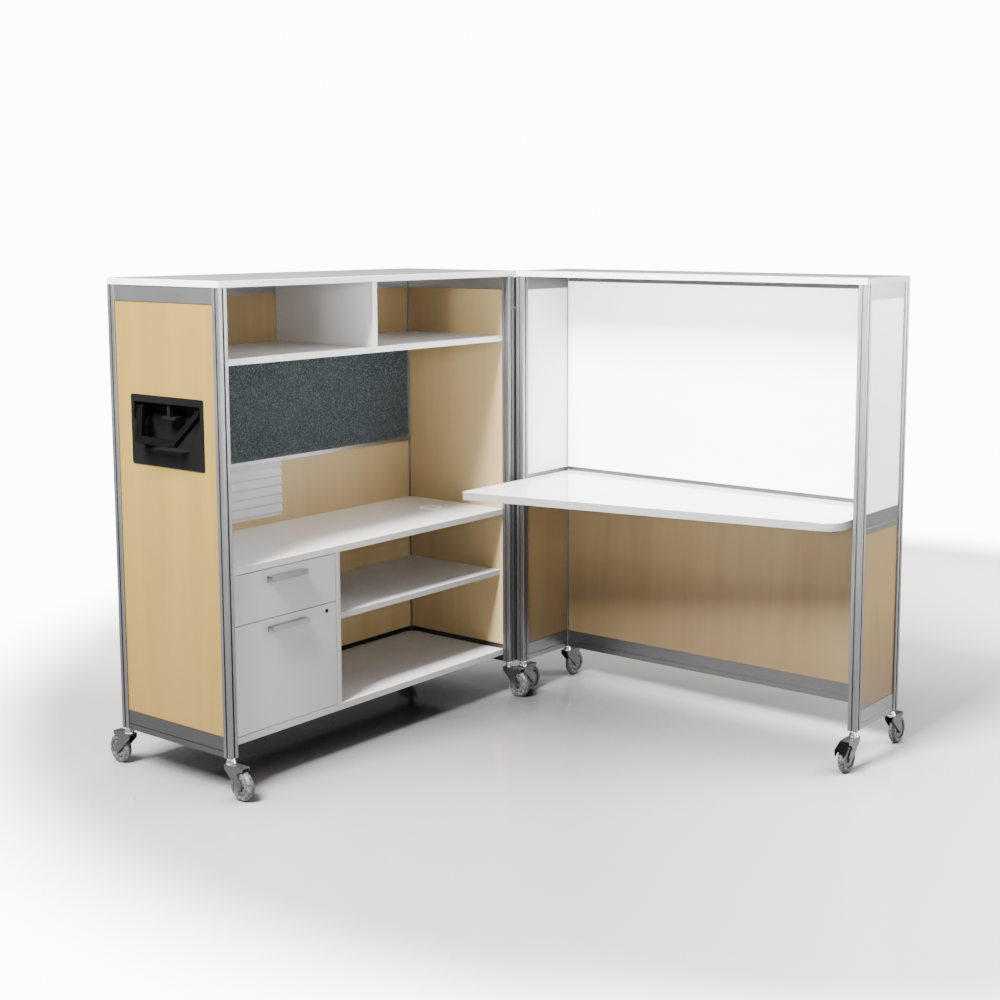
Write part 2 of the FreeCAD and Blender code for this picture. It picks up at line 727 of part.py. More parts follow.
def drawer_pull(name, top_z):
    """A folded pull: back plate, top flange and front lip."""
    body = new_body(name)
    sketch = new_sketch(body, "yz")
    sheet_metal = d.pull_sheet
    reach = d.pull_reach
    height = d.pull_height
    lip = height * 0.85
    outline(sketch, [(ZERO, ZERO), (-reach, ZERO), (-reach, -lip), (-(reach - sheet_metal), -lip),
                     (-(reach - sheet_metal), -sheet_metal), (-sheet_metal, -sheet_metal),
                     (-sheet_metal, -height), (ZERO, -height)])
    grow(body, sketch, d.pull_length)
    left = pedestal_left + (pedestal_clear - d.pull_length) / 2
    return keep(name, place(body, *storage_point(left, drawer_front, top_z)))


def make_drawers():
    drawer_front_board("top_drawer_front", top_front_low, fronts_top)
    file_front = drawer_front_board("file_drawer_front", file_front_low, file_front_top)
    sketch = new_sketch(file_front, "xz")
    circle(sketch, front_width - d.lock_inset, file_front_top - file_front_low - d.lock_drop,
           d.lock_radius + d.lock_play)
    cut(file_front, sketch)

    top_low = top_front_low + d.top_drawer_rise
    file_low = file_front_low + d.file_drawer_rise
    drawer_box("top_drawer_box", top_low, d.top_drawer_height)
    drawer_box("file_drawer_box", file_low, d.file_drawer_height)
    drawer_slides("top_drawer_slides", top_low, d.top_drawer_height)
    drawer_slides("file_drawer_slides", file_low, d.file_drawer_height)

    channels = []
    for level, low_z, height in (("top", top_low, d.top_drawer_height),
                                 ("file", file_low, d.file_drawer_height)):
        z = low_z + (height - d.runner_height) / 2
        channels.append(runner_channel("runner_%s_left" % level, pedestal_left, z, True))
        channels.append(runner_channel("runner_%s_right" % level, pedestal_left + pedestal_clear, z, False))
    group("drawer_runners", channels)

    drawer_pull("top_drawer_pull", fronts_top - d.pull_drop)
    drawer_pull("file_drawer_pull", file_front_top - d.pull_drop)
    make_lock()


def make_lock():
    """The lock plug, turned in one piece, with its key slot."""
    body = new_body("lock_plug")
    sketch = new_sketch(body, "xy")
    head = d.lock_head_radius
    face = -(d.lock_gap + d.lock_head_height)
    outline(sketch, [(ZERO, face), (head, face), (head, -d.lock_gap), (d.lock_radius, -d.lock_gap),
                     (d.lock_radius, d.front_thickness - d.lock_gap), (ZERO, d.front_thickness - d.lock_gap)])
    turn(body, sketch)
    slot = new_sketch(body, "xz")
    slot.setExpression("AttachmentOffset.Base.z", (-face).formula)
    rectangle(slot, -d.key_width / 2, -d.key_height / 2, d.key_width / 2, d.key_height / 2)
    cut(body, slot, d.key_depth)
    x = pedestal_left + d.front_gap + front_width - d.lock_inset
    z = file_front_top - d.lock_drop
    keep("lock_plug", place(body, *storage_point(x, drawer_front, z)))


def make_grommet():
    """A flanged sleeve in the counter and the notched cap that lies in it."""
    x = -d.grommet_inset
    y = d.post_size + d.grommet_setback
    sleeve = new_body("cable_grommet")
    sketch = new_sketch(sleeve, "xz")
    outer = d.grommet_hole
    bore = outer - d.grommet_wall
    top = d.grommet_flange_height
    seat = top - d.cap_thickness
    ledge = bore - d.cap_ledge
    outline(sketch, [(outer, -d.grommet_sleeve), (outer, ZERO), (d.grommet_flange, ZERO),
                     (d.grommet_flange - top / 2, top), (bore, top), (bore, seat), (ledge, seat),
                     (ledge, seat - d.cap_ledge), (bore, seat - d.cap_ledge), (bore, -d.grommet_sleeve)])
    turn(sleeve, sketch)
    keep("cable_grommet", place(sleeve, *storage_point(x, y, d.counter_level)))

    cap = new_body("grommet_cap")
    sketch = new_sketch(cap, "xy")
    circle(sketch, ZERO, ZERO, bore - d.cap_play)
    grow(cap, sketch, d.cap_thickness)
    notch = new_sketch(cap, "xy")
    half = d.cap_notch_width / 2
    rectangle(notch, -half, bore - d.cap_notch_depth, half, bore + d.cap_notch_depth)
    cut(cap, notch)
    keep("grommet_cap", place(cap, *storage_point(x, y, d.counter_level + seat)))


def make_slat_tile():
    """Hooked slats in one moulded tile below the tool rail."""
    body = new_body("slat_tile")
    sketch = new_sketch(body, "yz")
    pitch = d.tile_pitch
    thick = d.tile_thickness
    lip = d.tile_lip
    thin = thick * 0.45
    whole_slats = 5
    foot = -(d.tile_head + pitch * whole_slats + d.tile_foot)
    points = [(ZERO, ZERO), (ZERO, foot), (-thin, foot)]
    for count in range(whole_slats, 0, -1):
        low = -(d.tile_head + pitch * count)
        points += [(-thin, low), (-thick, low + lip), (-thick, low + lip * 2), (-thin, low + pitch - lip)]
    low = -d.tile_head
    points += [(-thin, low), (-thick, low + lip), (-thick, low + lip * 2), (-thin, ZERO)]
    outline(sketch, points)
    grow(body, sketch, d.tile_width)
    x = -(d.cabinet_width - d.post_size - d.tile_inset)
    y = d.storage_depth - wall_face
    z = d.storage_mid_rail_level - d.tile_drop
    keep("slat_tile", place(body, *storage_point(x, y, z)))


# Places of the handle dish, from its flange's lower front corner on the panel's outer face.
recess_front = (d.dish_width - d.recess_width) / 2
recess_high = d.recess_rise + d.recess_height
bail_axis_z = dish_level + recess_high - d.bail_drop
bail_axis_y = dish_front + d.dish_width / 2


def recess_outline(grown):
    """The recess: square shoulders, narrowing to its foot like the bail."""
    front = recess_front - grown
    rear = recess_front + d.recess_width + grown
    low = d.recess_rise - grown
    high = recess_high + grown
    knee = low + d.recess_height * 0.62
    return [(front, high), (rear, high), (rear, knee), (rear - d.recess_floor_inset, low),
            (front + d.recess_floor_inset, low), (front, knee)]


def make_dish():
    """The moulded recess in the left end panel, with the bail's pins."""
    body = new_body("handle_dish")
    flange = new_sketch(body, "yz")
    rectangle(flange, ZERO, ZERO, d.dish_width, d.dish_height)
    pad = grow(body, flange, d.dish_flange, backwards=True)
    ease(body, pad, lambda edge: edge.BoundBox.XLength > 0.9 * number_of(d.dish_flange), d.dish_corner,
         "PartDesign::Fillet")
    shell = new_sketch(body, "yz")
    outline(shell, recess_outline(d.dish_wall))
    grow(body, shell, d.recess_depth + d.dish_wall)
    mouth = new_sketch(body, "yz")
    mouth.setExpression("AttachmentOffset.Base.z", (-d.dish_flange).formula)
    outline(mouth, recess_outline(ZERO))
    cut(body, mouth, d.recess_depth + d.dish_flange, backwards=True)
    boss = new_sketch(body, "yz")
    boss.setExpression("AttachmentOffset.Base.z", d.recess_depth.formula)
    centre = d.dish_width / 2
    stem = d.boss_stem / 2
    half_foot = d.boss_foot / 2
    foot_top = recess_high - d.boss_drop
    foot_low = foot_top - d.boss_foot_height
    outline(boss, [(centre - stem, recess_high), (centre - stem, foot_top), (centre - half_foot, foot_top),
                   (centre - half_foot, foot_low), (centre + half_foot, foot_low),
                   (centre + half_foot, foot_top), (centre + stem, foot_top), (centre + stem, recess_high)])
    grow(body, boss, d.recess_depth - d.boss_setback, backwards=True)
    pins = new_sketch(body, "xz")
    circle(pins, d.bail_depth, recess_high - d.bail_drop, d.dish_pin_radius)
    pins.setExpression("AttachmentOffset.Base.z", (-(recess_front + d.recess_width)).formula)
    pin_length = d.recess_width / 2 - d.bail_span + d.bail_eye_radius
    grow(body, pins, pin_length)
    far_pins = new_sketch(body, "xz")
    circle(far_pins, d.bail_depth, recess_high - d.bail_drop, d.dish_pin_radius)
    far_pins.setExpression("AttachmentOffset.Base.z", (-recess_front).formula)
    grow(body, far_pins, pin_length, backwards=True)
    x = -(d.cabinet_width - wall_inset)
    keep("handle_dish", place(body, *storage_point(x, dish_front, dish_level)))


def make_bail():
    """The swing-out bail: two eyes, sloping arms and a grip bar."""
    body = new_body("bail_handle")
    sketch = new_sketch(body, "yz")
    span = d.bail_span
    grip = d.bail_grip
    arm = d.bail_arm
    bar = d.bail_bar
    eye = d.bail_eye_radius
    outline(sketch, [(span + eye, ZERO), (span + eye, -bar), (grip + bar, -(arm + bar)),
                     (-(grip + bar), -(arm + bar)), (-(span + eye), -bar), (-(span + eye), ZERO),
                     (-(span - eye), ZERO), (-(span - eye), -bar / 2), (-grip, -arm), (grip, -arm),
                     (span - eye, -bar / 2), (span - eye, ZERO)])
    grow(body, sketch, d.bail_thickness, middle=True)
    eyes = new_sketch(body, "xz")
    circle(eyes, ZERO, ZERO, eye)
    eyes.setExpression("AttachmentOffset.Base.z", (-(span + eye)).formula)
    grow(body, eyes, 2 * eye)
    far_eyes = new_sketch(body, "xz")
    circle(far_eyes, ZERO, ZERO, eye)
    far_eyes.setExpression("AttachmentOffset.Base.z", (span - eye).formula)
    grow(body, far_eyes, 2 * eye)
    bores = new_sketch(body, "xz")
    circle(bores, ZERO, ZERO, d.dish_pin_radius + d.bail_play)
    cut(body, bores)
    x, y, z = storage_point(bail_axis_x, bail_axis_y, bail_axis_z)
    keep("bail_handle", place(body, x, y, z, BAIL_TILT, Vector(0, 1, 0)))


def make_desk_frame():
    width, depth = d.cabinet_width, d.desk_depth
    near, far = half_post, width - half_post
    posts = []
    for corner, along, deep in (("front_left", near, half_post), ("front_right", far, half_post),
                                ("back_left", near, depth - half_post),
                                ("back_right", far, depth - half_post)):
        x, y, _ = desk_point(along, deep, ZERO)
        posts.append(post("desk_post_" + corner, x, y))
    group("desk_posts", posts)

    side_run = depth - 2 * d.post_size
    back_run = width - 2 * d.post_size
    groove = d.rail_groove_level
    levels = (("bottom", posts_low, d.bottom_rail_height, d.bottom_rail_height, groove, groove),
              ("middle", d.desk_mid_rail_level, d.desk_mid_rail_height, d.desk_back_rail_height, groove,
               d.desk_back_groove_level),
              ("top", top_rail_low, d.top_rail_height, d.top_rail_height, None, None))
    end_rails = []
    back_rails = []
    for level, z, height, back_height, groove, back_groove in levels:
        for side, along in (("left", near), ("right", far)):
            start = desk_point(along, d.post_size, z)
            end_rails.append(rail("desk_%s_%s_rail" % (side, level), start, side_run, height,
                                  d.rail_thickness, True, groove))
        start = desk_point(width - d.post_size, depth - half_post, z)
        back_rails.append(rail("desk_back_%s_rail" % level, start, back_run, back_height,
                               d.rail_thickness, False, back_groove))
    group("desk_end_rails", end_rails)
    group("desk_back_rails", back_rails)


def make_desk_walls():
    width, depth = d.cabinet_width, d.desk_depth
    side_run = depth - 2 * d.post_size
    back_run = width - 2 * d.post_size
    middle_top = d.desk_mid_rail_level + d.desk_mid_rail_height
    lower_high = d.desk_mid_rail_level - bottom_rail_top
    upper_high = top_rail_low - middle_top
    lower, upper = [], []
    for side, along in (("left", wall_face), ("right", width - wall_inset)):
        lower.append(board("desk_lower_%s_panel" % side, desk_point(along, d.post_size, bottom_rail_top),
                           (side_run, d.panel_thickness, lower_high)))
        upper.append(board("desk_upper_%s_panel" % side, desk_point(along, d.post_size, middle_top),
                           (side_run, d.panel_thickness, upper_high)))
    far = width - d.post_size
    lower.append(board("desk_lower_back_panel", desk_point(far, depth - wall_face, bottom_rail_top),
                       (d.panel_thickness, back_run, lower_high)))
    back_top = d.desk_mid_rail_level + d.desk_back_rail_height
    upper.append(board("desk_upper_back_panel", desk_point(far, depth - wall_face, back_top),
                       (d.panel_thickness, back_run, top_rail_low - back_top)))
    group("desk_lower_panels", lower)
    group("desk_upper_panels", upper)
    board_low = back_top - d.panel_thickness / 4
    board_size = (d.whiteboard_thickness, back_run, posts_high - d.whiteboard_drop - board_low)
    keep("whiteboard", board("whiteboard", desk_point(far, depth - rail_face - d.whiteboard_thickness, board_low),
                             board_size))
    slab("desk_top", desk_point(width, -slab_reach, posts_high),
         (depth + slab_reach, width, d.slab_thickness))


def make_worktop():
    """The tapered worktop: wide beside the hinge, narrow and rounded at the free end."""
    body = new_body("worktop")
    sketch = new_sketch(body, "xy")
    near = -(d.post_size + d.worktop_clearance)
    far = -(d.cabinet_width - d.post_size - d.worktop_clearance)
    back = d.desk_depth - rail_face
    outline(sketch, [(-d.worktop_wide_length, near), (back, near), (back, far), (-d.worktop_narrow_length, far)])
    pad = grow(body, sketch, d.worktop_thickness)
    front_half = number_of(-d.worktop_narrow_length) / 2
    middle = (number_of(near) + number_of(far)) / 2
    rounded = ease(body, pad, lambda edge: is_upright(edge) and edge.BoundBox.XMax < front_half
                   and edge.BoundBox.YMax < middle, d.worktop_round, "PartDesign::Fillet")
    ease(body, rounded, lambda edge: is_upright(edge) and edge.BoundBox.XMax < front_half
         and edge.BoundBox.YMin > middle, d.worktop_tip, "PartDesign::Fillet")
    low = d.worktop_level - d.worktop_thickness
    keep("worktop", place(body, *desk_point(ZERO, ZERO, low)))


def worktop_bracket(name, along):
    """A folded gusset bracket: back plate, top plate and tapering web."""
    body = new_body(name)
    web = new_sketch(body, "xz")
    reach, high, metal = d.bracket_length, d.bracket_height, d.bracket_sheet
    outline(web, [(ZERO, ZERO), (ZERO, -high), (-metal, -high), (-reach, -d.bracket_tip), (-reach, ZERO)])
    grow(body, web, metal, middle=True)
    flange = new_sketch(body, "xz")
    outline(flange, [(ZERO, ZERO), (ZERO, -high), (-metal, -high), (-metal, -metal), (-reach, -metal),
                     (-reach, ZERO)])
    grow(body, flange, d.bracket_flange, middle=True)
    deep = d.desk_depth - rail_face
    return place(body, *desk_point(along, deep, d.worktop_level - d.worktop_thickness))


def make_brackets():
    near = worktop_bracket("worktop_bracket_left", d.bracket_inset)
    middle = worktop_bracket("worktop_bracket_middle", d.cabinet_width / 2)
    far = worktop_bracket("worktop_bracket_right", d.cabinet_width - d.bracket_inset)
    group("worktop_brackets", [near, middle, far])


hinge_low = posts_low + d.hinge_margin
hinge_length = d.post_length - 2 * d.hinge_margin
KNUCKLES = 13


def hinge_leaf(name, own_first, turned):
    """One leaf of the continuous hinge, with every second knuckle."""
    body = new_body(name)
    pitch = hinge_length / KNUCKLES
    plate = new_sketch(body, "xy")
    inner = -d.hinge_offset
    clear = d.hinge_knuckle + d.hinge_gap
    rectangle(plate, inner, clear, inner + d.hinge_leaf, d.hinge_leaf_width + clear)
    grow(body, plate, hinge_length)
    count = (KNUCKLES + 1) // 2 if own_first else KNUCKLES // 2
    first = 0 if own_first else 1
    rise = pitch * first + (d.hinge_gap / 2)
    knuckle = new_sketch(body, "xy")
    knuckle.setExpression("AttachmentOffset.Base.z", rise.formula)
    circle(knuckle, ZERO, ZERO, d.hinge_knuckle)
    tab = new_sketch(body, "xy")
    tab.setExpression("AttachmentOffset.Base.z", rise.formula)
    rectangle(tab, inner, ZERO, inner + d.hinge_leaf, clear + d.hinge_leaf)
    own = pitch - d.hinge_gap
    tab_pad = grow(body, tab, own)
    knuckle_pad = grow(body, knuckle, own)
    pattern = body.newObject("PartDesign::LinearPattern", name + "_pattern")
    pattern.Originals = [tab_pad, knuckle_pad]
    z_axis = [part for part in body.Origin.OriginFeatures if part.Role == "Z_Axis"][0]
    pattern.Direction = (z_axis, [""])
    bind(pattern, "Length", pitch * 2 * (count - 1))
    pattern.Occurrences = count
    body.Tip = pattern
    doc.recompute()
    bore = new_sketch(body, "xy")
    circle(bore, ZERO, ZERO, d.hinge_pin_radius + d.hinge_play)
    cut(body, bore)
    x, y, z = storage_point(fold_x, fold_y, hinge_low)
    return keep(name, place(body, x, y, z, turned))


def make_hinge():
    hinge_leaf("hinge_leaf_storage", True, 0)
    mirror_leaf()
    pin = new_body("hinge_pin")
    sketch = new_sketch(pin, "xz")
    head = d.hinge_head
    radius = d.hinge_pin_radius
    wide = d.hinge_knuckle - d.hinge_leaf / 2
    low = d.hinge_gap / 2
    high = hinge_length - low
    outline(sketch, [(ZERO, low - head), (wide, low - head), (wide, low), (radius, low), (radius, high),
                     (wide, high), (wide, high + head), (ZERO, high + head)])
    turn(pin, sketch)
    keep("hinge_pin", place(pin, *storage_point(fold_x, fold_y, hinge_low)))


def mirror_leaf():
    """The desk's leaf lies on its end face: the storage leaf's section, swapped across the diagonal."""
    name = "hinge_leaf_desk"
    body = new_body(name)
    pitch = hinge_length / KNUCKLES
    inner = -d.hinge_offset
    clear = d.hinge_knuckle + d.hinge_gap
    plate = new_sketch(body, "xy")
    rectangle(plate, clear, inner, d.hinge_leaf_width + clear, inner + d.hinge_leaf)
    grow(body, plate, hinge_length)
    rise = pitch + d.hinge_gap / 2
    knuckle = new_sketch(body, "xy")
    knuckle.setExpression("AttachmentOffset.Base.z", rise.formula)
    circle(knuckle, ZERO, ZERO, d.hinge_knuckle)
    tab = new_sketch(body, "xy")
    tab.setExpression("AttachmentOffset.Base.z", rise.formula)
    rectangle(tab, ZERO, inner, clear + d.hinge_leaf, inner + d.hinge_leaf)
    own = pitch - d.hinge_gap
    tab_pad = grow(body, tab, own)
    knuckle_pad = grow(body, knuckle, own)
    pattern = body.newObject("PartDesign::LinearPattern", name + "_pattern")
    pattern.Originals = [tab_pad, knuckle_pad]
    z_axis = [part for part in body.Origin.OriginFeatures if part.Role == "Z_Axis"][0]
    pattern.Direction = (z_axis, [""])
    count = KNUCKLES // 2
    bind(pattern, "Length", pitch * 2 * (count - 1))
    pattern.Occurrences = count
    body.Tip = pattern
    doc.recompute()
    bore = new_sketch(body, "xy")
    circle(bore, ZERO, ZERO, d.hinge_pin_radius + d.hinge_play)
    cut(body, bore)
    keep(name, place(body, *storage_point(fold_x, fold_y, hinge_low)))


# Places of the casters' king pins.
caster_places = {
    "storage_front_left": storage_point(-(d.cabinet_width - half_post), half_post, ZERO),
    "storage_front_right": storage_point(-half_post, half_post, ZERO),
    "storage_back_left": storage_point(-(d.cabinet_width - half_post), d.storage_depth - half_post, ZERO),
    "storage_back_right": storage_point(-half_post, d.storage_depth - half_post, ZERO),
    "desk_front_left": desk_point(half_post, half_post, ZERO),
    "desk_front_right": desk_point(d.cabinet_width - half_post, half_post, ZERO),
    "desk_back_left": desk_point(half_post, d.desk_depth - half_post, ZERO),
    "desk_back_right": desk_point(d.cabinet_width - half_post, d.desk_depth - half_post, ZERO),
}


def caster_stem(name, at):
    """Stem, collar, race cover and king pin, turned in one piece."""
    body = new_body(name)
    sketch = new_sketch(body, "xz")
    post_low = d.caster_height
    cover_low = d.fork_level + d.fork_gap
    cover_high = post_low - d.collar_height
    plate_low = d.fork_level - d.fork_sheet
    head_high = plate_low - d.fork_gap
    outline(sketch, [(ZERO, head_high - d.king_head_height), (d.king_head_radius, head_high - d.king_head_height),
                     (d.king_head_radius, head_high), (d.king_radius, head_high), (d.king_radius, cover_low),
                     (d.race_radius, cover_low), (d.race_radius, cover_low + d.race_edge),
                     (d.collar_radius, cover_high), (d.collar_radius, post_low), (d.stem_radius, post_low),
                     (d.stem_radius, post_low + d.stem_length), (ZERO, post_low + d.stem_length)])
    turn(body, sketch)
    return place(body, at[0], at[1], ZERO)


def caster_fork(name, at, heading, with_pedal_pin):
    """The folded fork: top plate, two tapering legs, axle bolt."""
    body = new_body(name)
    side = new_sketch(body, "xz")
    top = d.fork_level
    back = -d.race_radius
    reach = d.fork_reach
    trail = d.caster_trail
    axle = d.wheel_radius
    boss = d.axle_boss
    ear_low = top - d.fork_ear
    outline(side, [(back, top), (back, top - d.fork_back_height), (trail - boss, axle - boss / 2),
                   (trail - boss / 2, axle - boss), (trail + boss / 2, axle - boss),
                   (trail + boss, axle - boss / 2), (trail + boss, axle + boss),
                   (d.fork_waist, ear_low - boss), (reach - boss, ear_low), (reach, ear_low), (reach, top)])
    grow(body, side, d.fork_width, middle=True)
    slot = new_sketch(body, "yz")
    half = d.fork_width / 2 - d.fork_sheet
    rectangle(slot, -half, ZERO, half, top - d.fork_sheet)
    cut(body, slot)
    corner = new_sketch(body, "xy")
    corner.setExpression("AttachmentOffset.Base.z", (top - d.fork_sheet).formula)
    circle(corner, ZERO, ZERO, d.king_radius + d.king_play)
    cut(body, corner, d.fork_sheet + d.fork_sheet, backwards=True)
    bolt = new_sketch(body, "xz")
    circle(bolt, trail, axle, d.axle_radius)
    grow(body, bolt, d.fork_width + 2 * d.axle_head_height, middle=True)
    if with_pedal_pin:
        pin = new_sketch(body, "xz")
        circle(pin, reach - d.pedal_barrel, top - d.fork_sheet - d.pedal_barrel - d.fork_gap, d.pedal_pin_radius)
        grow(body, pin, d.fork_width, middle=True)
    return keep(name, place(body, at[0], at[1], ZERO, heading))


def caster_wheel(name, at, heading):
    """A crowned wheel with a sunk web and a hub, turned about its axle."""
    body = new_body(name)
    sketch = new_sketch(body, "xy")
    half = d.wheel_width / 2
    radius = d.wheel_radius
    shoulder = d.wheel_shoulder
    hub_half = d.fork_width / 2 - d.fork_sheet - d.hub_play
    web = d.wheel_web / 2
    bore = d.axle_radius + d.wheel_play
    rim = radius - d.wheel_rim_inset
    one_side = [(bore, hub_half), (d.wheel_hub, hub_half), (d.wheel_hub, web), (rim, web), (rim, half),
                (radius - shoulder, half), (radius, half - shoulder)]
    mirrored = [(across, -up) for across, up in reversed(one_side)]
    outline(sketch, one_side + mirrored)
    turn(body, sketch)
    # The axle lies one trail in front of the king pin, along the heading.
    cosine, sine = math.cos(math.radians(heading)), math.sin(math.radians(heading))
    x = at[0] + d.caster_trail * cosine
    y = at[1] + d.caster_trail * sine
    return keep(name, place(body, x, y, d.wheel_radius, heading))


def make_pedal(at, heading):
    """The brake pedal on the desk's free front caster."""
    body = new_body("brake_pedal")
    sketch = new_sketch(body, "xz")
    barrel = d.pedal_barrel
    metal = d.pedal_sheet
    reach = d.pedal_reach
    fall = d.pedal_fall
    hood = barrel + d.pedal_ear_gap
    outline(sketch, [(ZERO, ZERO), (ZERO, barrel), (hood, barrel), (hood, -metal)])
    inner = d.fork_width - 2 * d.fork_sheet - 2 * d.pedal_side_play
    grow(body, sketch, inner, middle=True)
    tread = new_sketch(body, "xz")
    outline(tread, [(hood, barrel), (reach + metal / 2, metal - fall), (reach, -(fall + d.pedal_skirt)),
                    (hood + metal, -d.pedal_skirt), (hood, -metal)])
    grow(body, tread, d.pedal_width, middle=True)
    hollow = new_sketch(body, "xz")
    hollow_low = -2 * (fall + d.pedal_skirt)
    outline(hollow, [(ZERO, barrel - metal), (reach, -fall), (reach + metal, -fall), (reach + metal, hollow_low),
                     (ZERO, hollow_low)])
    cut(body, hollow, inner, middle=True)
    ring = new_sketch(body, "xz")
    circle(ring, ZERO, ZERO, barrel)
    grow(body, ring, inner, middle=True)
    bore = new_sketch(body, "xz")
    circle(bore, ZERO, ZERO, d.pedal_pin_radius + d.pedal_play)
    cut(body, bore)
    cosine, sine = math.cos(math.radians(heading)), math.sin(math.radians(heading))
    ahead = d.fork_reach - barrel
    x = at[0] + ahead * cosine
    y = at[1] + ahead * sine
    z = d.fork_level - d.fork_sheet - barrel - d.fork_gap
    keep("brake_pedal", place(body, x, y, z, heading))


def make_casters():
    for side in ("storage", "desk"):
        stems = []
        for corner, at in caster_places.items():
            if corner.startswith(side):
                stems.append(caster_stem(corner + "_stem", at))
        group(side + "_caster_stems", stems)
    for corner, at in caster_places.items():
        caster_fork(corner + "_fork", at, HEADINGS[corner], corner == "desk_front_right")
        caster_wheel(corner + "_wheel", at, HEADINGS[corner])
    braked = "desk_front_right"
    make_pedal(caster_places[braked], HEADINGS[braked])


make_storage_frame()
make_storage_walls()
make_storage_boards()
make_drawers()
make_grommet()
make_slat_tile()
make_dish()
make_bail()
make_desk_frame()
make_desk_walls()
make_worktop()
make_brackets()
make_hinge()
make_casters()
doc.recompute()

problems = []
for item in doc.Objects:
    if "Invalid" in item.State or "Error" in item.State:
        problems.append("%s is in state %s" % (item.Name, item.State))
for name, target in nodes.items():
    if target.Shape.isNull() or not target.Shape.isValid():
        problems.append("%s has no valid shape" % name)
if problems:
    raise RuntimeError("; ".join(problems))

os.makedirs("parts", exist_ok=True)
for name, target in nodes.items():
    target.Shape.exportStep(os.path.join("parts", name + ".step"))
    print("%-28s %2d solids %12.1f mm3" % (name, len(target.Shape.Solids), target.Shape.Volume))
whole = FreeCAD.BoundBox()
for target in nodes.values():
    whole.add(target.Shape.BoundBox)
print("%d nodes, outline %s" % (len(nodes), whole))
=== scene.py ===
import math

import bmesh
import bpy
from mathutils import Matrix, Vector


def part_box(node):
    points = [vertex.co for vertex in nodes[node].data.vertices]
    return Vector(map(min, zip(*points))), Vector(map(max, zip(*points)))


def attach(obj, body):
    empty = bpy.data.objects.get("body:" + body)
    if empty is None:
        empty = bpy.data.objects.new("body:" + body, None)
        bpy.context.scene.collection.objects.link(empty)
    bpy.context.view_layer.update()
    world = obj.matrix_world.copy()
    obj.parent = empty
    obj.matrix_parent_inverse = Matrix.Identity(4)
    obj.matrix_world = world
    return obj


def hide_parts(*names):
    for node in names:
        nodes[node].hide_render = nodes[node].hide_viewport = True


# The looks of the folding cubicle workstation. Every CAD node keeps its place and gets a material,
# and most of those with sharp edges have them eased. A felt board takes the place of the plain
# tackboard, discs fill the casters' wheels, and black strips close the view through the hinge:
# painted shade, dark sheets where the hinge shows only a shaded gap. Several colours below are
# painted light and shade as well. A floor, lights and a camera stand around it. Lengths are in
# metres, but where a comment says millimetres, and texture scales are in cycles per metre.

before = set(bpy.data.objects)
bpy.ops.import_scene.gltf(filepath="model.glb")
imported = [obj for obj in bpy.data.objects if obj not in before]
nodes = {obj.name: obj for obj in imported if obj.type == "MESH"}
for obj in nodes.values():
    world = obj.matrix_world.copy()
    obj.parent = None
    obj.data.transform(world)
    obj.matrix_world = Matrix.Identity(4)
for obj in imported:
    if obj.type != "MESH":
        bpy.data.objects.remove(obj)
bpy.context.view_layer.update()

MM = 0.001
WHITE = (1.0, 1.0, 1.0)
CASTERS = [
    "storage_front_left", "storage_front_right", "storage_back_left", "storage_back_right",
    "desk_front_left", "desk_front_right", "desk_back_left", "desk_back_right",
]

# The colour sockets of a Mix node, which share their names with its other sockets.
MIX_FIRST, MIX_SECOND, MIX_RESULT = 6, 7, 2


